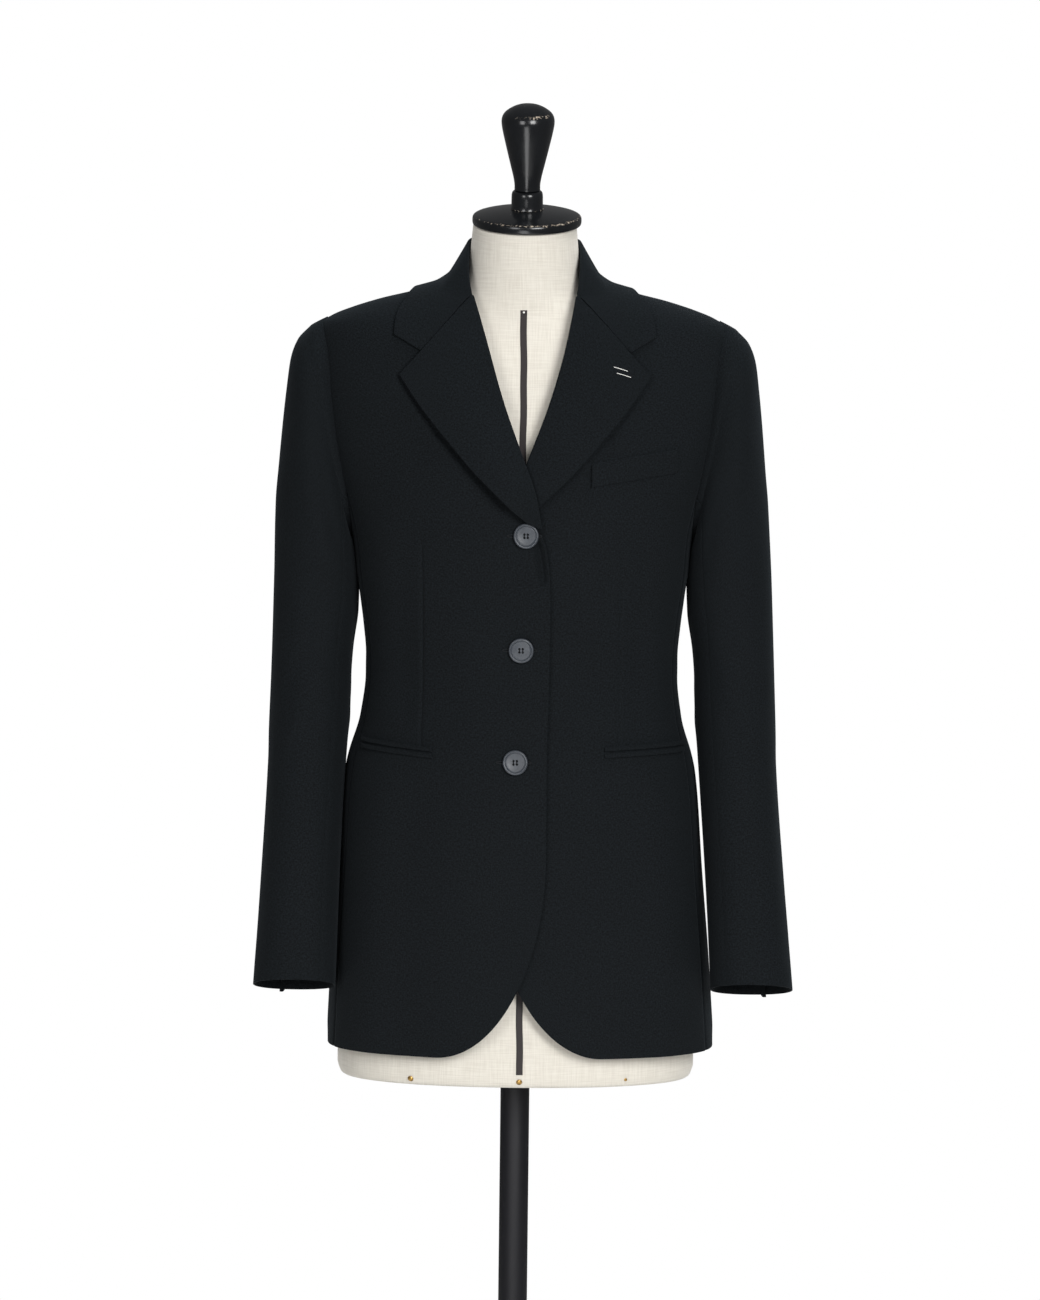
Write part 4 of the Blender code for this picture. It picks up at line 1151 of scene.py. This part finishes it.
def sleeve_rows(side, first, last, columns, vented=False):
    """Rows of one sleeve piece between two seams, from the cuff up to the armhole."""
    count = len(SLEEVE_SECTIONS)
    steps = [0.0, 0.01, 0.03] + spread(0.06, 1.0, 10) + spread(1.0, count, 170)[1:]
    rows = []
    for shape in reversed(steps):
        tucked = within((shape - VENT_START) / 0.15) if vented else 0.0
        end = last + VENT_TUCK * tucked
        turns = [first + (end - first) * part for part in gathered(columns)]
        flat = [sleeve_point(shape, turn, side) for turn in turns]
        forearm_first = first > 0
        forearm = seam_roll(flat, forearm_first, not forearm_first)
        hindarm = seam_roll(flat, not forearm_first, forearm_first)
        dips = [one * FOREARM_ROLL + other for one, other in zip(forearm, hindarm)]
        row = []
        for turn, point, dip in zip(turns, flat, dips):
            around = sleeve_point(shape, turn + 0.4, side) - sleeve_point(shape, turn - 0.4, side)
            lower, upper = min(shape + 0.04, count), max(shape - 0.04, 0.0)
            up = sleeve_point(upper, turn, side) - sleeve_point(lower, turn, side)
            out = up.cross(around).normalized()
            curl = (turn + 180.0) % 360.0 - 180.0 if turn < 150 else turn
            lines = relief([(a * SLEEVE_GIRTH, b, c * SLEEVE_GIRTH, d, w, h)
                            for a, b, c, d, w, h in SLEEVE_DRAPE], curl * SLEEVE_GIRTH, point.z)
            fade = min(shape / 1.5, 1.0) * min((count - shape) / 0.3, 1.0)
            under = within((turn - last + 3.0) / 3.0) * tucked
            point = point + out * (dip + lines * fade - under * VENT_DEPTH)
            point.z -= VENT_DROP * under * max(0.0, 1 - (count - shape) / 0.25)
            row.append(point)
        rows.append(row)
    return rows


for side, wearer in SIDES:
    top = sleeve_rows(side, HINDARM_SEAM - 360 + 0.1, FOREARM_SEAM - 0.1, 76)
    under = sleeve_rows(side, FOREARM_SEAM + 0.1, HINDARM_SEAM - 0.1, 44, vented=True)
    for half, rows, flat, area in (
            ("top", top, (0.225, 0.680), 0.115), ("under", under, (0.175, 0.560), 0.075)):
        placed = [[Vector((side * p.x, p.y, p.z)) for p in row[::-side]] for row in rows]
        sleeve = sewn("sleeve_" + half + "_" + wearer, half + "_sleeve_" + wearer, placed, SLEEVE_THICK)

# ---- buttons --------------------------------------------------------------------------------------
# Three four-hole buttons turned from grey polyester that imitates horn, with a raised rim, a fine
# groove and a dished face. Each is sewn on a short shank of black thread and goes through its hole.
BUTTONS = (("button_top", 0.0033, 1.0895), ("button_middle", 0.0001, 0.9770),
           ("button_bottom", -0.0030, 0.8675))
BUTTON_RADIUS = 0.01225
BUTTON_SHANK = 0.0014
HOLE_OFF = 0.00165          # each hole from the middle, across and up
HOLE_RADIUS = 0.00115
BUTTONHOLE_HALF = 0.0170
BUTTONHOLE_SHIFT = 0.0015   # middle of the buttonhole, to the wearer's right of its button
HOLE_THREAD = 0.00060       # half the thickness of the thread round a buttonhole
SHANK_THREAD = 0.00065
BUTTON_PROFILE = ((0.0098, 0.0), (0.0112, 0.0005), (BUTTON_RADIUS, 0.0016), (BUTTON_RADIUS, 0.0024),
                  (0.0118, 0.0031), (0.0110, 0.0034), (0.0102, 0.0032), (0.0097, 0.0025), (0.0093, 0.0024),
                  (0.0089, 0.0028), (0.0072, 0.0026), (0.0050, 0.0023), (0.0030, 0.0022), (0.0010, 0.0022))
horn_resin, tree = new_material("grey_horn_effect_polyester", roughness=0.42, coat_weight=0.15,
                                coat_roughness=0.3)
# Streaks of horn effect are 2 to 4 mm wide.
streaks = noise(tree, on_object(tree), 260.0, 4.0, Distortion=1.2)
feed(tree, "Base Color", colour_mix(tree, streaks, "#282d34", "#40464e"))
raise_grain(tree, streaks, 0.08, 0.0002)
black_thread, tree = new_material("black_polyester_sewing_thread", roughness=0.75, specular_ior_level=0.2)
twist = noise(tree, on_object(tree), 2600.0, 2.0)
feed(tree, "Base Color", colour_mix(tree, twist, "#0c0d0f", "#202428"))
raise_grain(tree, twist, 0.5, 0.0002)


def thread(name, points, radius, material, slot, closed=False):
    """A tube of thread along points, with a slight waist at each stitch."""
    line = bpy.data.curves.new(name, "CURVE")
    line.dimensions = "3D"
    line.bevel_depth = radius
    line.bevel_resolution = 2
    line.use_fill_caps = not closed
    run = line.splines.new("POLY")
    run.points.add(len(points) - 1)
    run.use_cyclic_u = closed
    for i, (knot, point) in enumerate(zip(run.points, points)):
        knot.co = (*point, 1.0)
        knot.radius = 1.0 if i % 2 else 0.8
    pick(new_object(name, line))
    bpy.ops.object.convert(target="MESH")
    piece = bpy.context.object
    bpy.ops.object.mode_set(mode="EDIT")
    bpy.ops.mesh.select_all(action="SELECT")
    bpy.ops.mesh.remove_doubles(threshold=0.000005)
    bpy.ops.mesh.normals_make_consistent(inside=False)
    bpy.ops.object.mode_set(mode="OBJECT")
    piece.data.shade_smooth()
    settle(piece, material, slot)


def on_right_front(x, height, out):
    """A point on the right front seen at x, in front of its cloth."""
    point = lap_lift(on_front(-x, height, out, FRONT_DRAPE + BUTTON_DRAPE))
    return sway(Vector((-point.x, point.y, point.z)))


for name, x, height in BUTTONS:
    button = turned("sewn_" + name, BUTTON_PROFILE, sides=72)
    for across in (-HOLE_OFF, HOLE_OFF):
        for up in (-HOLE_OFF, HOLE_OFF):
            bpy.ops.mesh.primitive_cylinder_add(vertices=20, radius=HOLE_RADIUS, depth=0.012,
                                                location=(across, up, 0.002))
            drill = bpy.context.object
            pick(button)
            hole = button.modifiers.new("hole", "BOOLEAN")
            hole.object = drill
            hole.operation = "DIFFERENCE"
            bpy.ops.object.modifier_apply(modifier=hole.name)
            bpy.data.objects.remove(drill, do_unlink=True)
    bpy.ops.object.shade_smooth_by_angle(angle=math.radians(35))
    seat = on_right_front(x, height, 0.0) + Vector((0, -BUTTON_SHANK, 0))
    facing = ring_normal(BODY_RINGS, 0.0, height)
    stand_up = Matrix.Translation(seat) @ facing.to_track_quat("Z", "Y").to_matrix().to_4x4()
    button.data.transform(stand_up)
    settle(button, horn_resin, "button", name)
    for row_name, across in (("near", -HOLE_OFF), ("far", HOLE_OFF)):
        arch = []
        for part in spread(0, 1, 9):
            rise = 0.0010 + 0.0015 * math.sin(math.pi * part) ** 0.5
            arch.append(stand_up @ Vector((across, HOLE_OFF * (2 * part - 1), rise)))
        thread(name + "_thread_" + row_name, arch, SHANK_THREAD, black_thread, "suiting")
    slit = []
    for turn in spread(0, 345, 24):
        swing = math.radians(turn)
        along = squared(math.cos(swing), 0.35) * BUTTONHOLE_HALF - BUTTONHOLE_SHIFT
        slit.append(on_right_front(x + along, height + 0.0013 * math.sin(swing), 0.0004))
    dense = []
    for one, other in zip(slit, slit[1:] + slit[:1]):
        dense += [one.lerp(other, part / 3) for part in range(3)]
    thread(name + "_hole_edge", dense, HOLE_THREAD, black_thread, "suiting", closed=True)

# ---- bar tack -------------------------------------------------------------------------------------
# A pair of plain white hand stitches on the left lapel, in place of the maker's motif.
white_thread, tree = new_material("white_cotton_embroidery_thread", roughness=0.7, sheen_weight=0.2)
twist = noise(tree, on_object(tree), 1800.0, 2.0)
feed(tree, "Base Color", colour_mix(tree, twist, "#cfcdc6", "#f6f5f1"))
raise_grain(tree, twist, 0.5, 0.0002)
TACK_OUT = LAPEL_BED + LAPEL_STAND["left"][-1][1] + 0.0004
TACK_THREAD = 0.00042
for name, (start_x, start_z), (end_x, end_z) in (
        ("tack_upper", (0.0850, 1.2520), (0.0990, 1.2480)),
        ("tack_lower", (0.0880, 1.2462), (0.1020, 1.2422))):
    stitch = []
    for part in spread(0, 1, 15):
        x = start_x + (end_x - start_x) * part
        z = start_z + (end_z - start_z) * part
        sunk = 0.0009 * (1 - math.sin(math.pi * min(max(part, 0.03), 0.97)) ** 0.3)
        stitch.append(sway(on_front(x, z, TACK_OUT - sunk, ())))
    thread(name, stitch, TACK_THREAD, white_thread, "linen")

# ---- floor, light and camera ----------------------------------------------------------------------
# A plain pale floor, a large soft light high on the right of the camera, a weaker one on the left, dim
# ones above and behind, a low card in front and a white surround.
bpy.ops.object.select_all(action="DESELECT")
bpy.ops.mesh.primitive_circle_add(vertices=96, radius=1.25, fill_type="NGON", location=(0, 0, 0))
floor = bpy.context.object
floor.name = "studio_floor"
pale, tree = new_material("pale_studio_paper", roughness=0.95)
feed(tree, "Base Color", colour_mix(tree, noise(tree, on_object(tree), 30.0, 3.0), "#eeeeec", "#f6f6f5"))
floor.data.materials.append(pale)


def softbox(name, spot, aim, width, height, power):
    """A large rectangular soft light that faces a point."""
    lamp = bpy.data.lights.new(name, "AREA")
    lamp.shape = "RECTANGLE"
    lamp.size = width
    lamp.size_y = height
    lamp.energy = power
    hung = new_object(name, lamp)
    hung.location = spot
    hung.rotation_euler = (Vector(aim) - Vector(spot)).to_track_quat("-Z", "Y").to_euler()
    return hung


softbox("key_softbox", (1.6, -4.2, 2.2), (0, 0, 1.0), 1.6, 2.2, 155.0)
softbox("fill_softbox", (-1.9, -4.3, 1.8), (0, 0, 0.95), 1.4, 2.2, 60.0)
softbox("top_softbox", (0.4, 0.5, 3.2), (0, 0, 1.2), 2.0, 1.6, 50.0).visible_glossy = False
# Two dim ones behind, so that the back reads as well.
softbox("rear_softbox_left", (-2.2, 3.4, 2.2), (0, 0, 1.0), 1.6, 2.2, 75.0).visible_glossy = False
softbox("rear_softbox_right", (2.4, 3.2, 1.9), (0, 0, 1.0), 1.4, 2.2, 45.0).visible_glossy = False
# A low card that is only seen as the long highlight in lacquer and paint.
low_card = softbox("low_card", (-0.15, -1.30, 0.35), (0, 0, 1.46), 0.5, 1.0, 5.5)
low_card.visible_diffuse = low_card.visible_camera = False
surround = bpy.data.worlds.new("white_surround")
bpy.context.scene.world = surround
surround.use_nodes = True
tree = surround.node_tree
lighting = tree.nodes["Background"]
lighting.inputs["Color"].default_value = linear("#ffffff")
lighting.inputs["Strength"].default_value = 0.13
# Behind the object the paper is lit on its own, so it is brighter than the light it gives.
backdrop = add_node(tree, "ShaderNodeBackground", {"Color": linear("#ffffff"), "Strength": 1.0})
seen = add_node(tree, "ShaderNodeLightPath").outputs["Is Camera Ray"]
mixed = add_node(tree, "ShaderNodeMixShader", {0: seen, 1: lighting.outputs[0], 2: backdrop.outputs[0]})
tree.links.new(mixed.outputs[0], tree.nodes["World Output"].inputs["Surface"])
bpy.context.scene.view_settings.view_transform = "Standard"

CAMERA_SPOT = Vector((0.0, -5.5, 1.30))
CAMERA_AIM = Vector((0.0, 0.0, 0.97))
CAMERA_ROLL = 0.66          # degrees
camera_data = bpy.data.cameras.new("camera")
camera_data.sensor_fit = "VERTICAL"
camera_data.sensor_height = 36.0
camera_data.lens = 152.58
camera = new_object("camera", camera_data)
camera.matrix_world = (Matrix.Translation(CAMERA_SPOT)
                       @ (CAMERA_AIM - CAMERA_SPOT).to_track_quat("-Z", "Y").to_matrix().to_4x4()
                       @ Matrix.Rotation(math.radians(CAMERA_ROLL), 4, "Z"))
bpy.context.scene.camera = camera
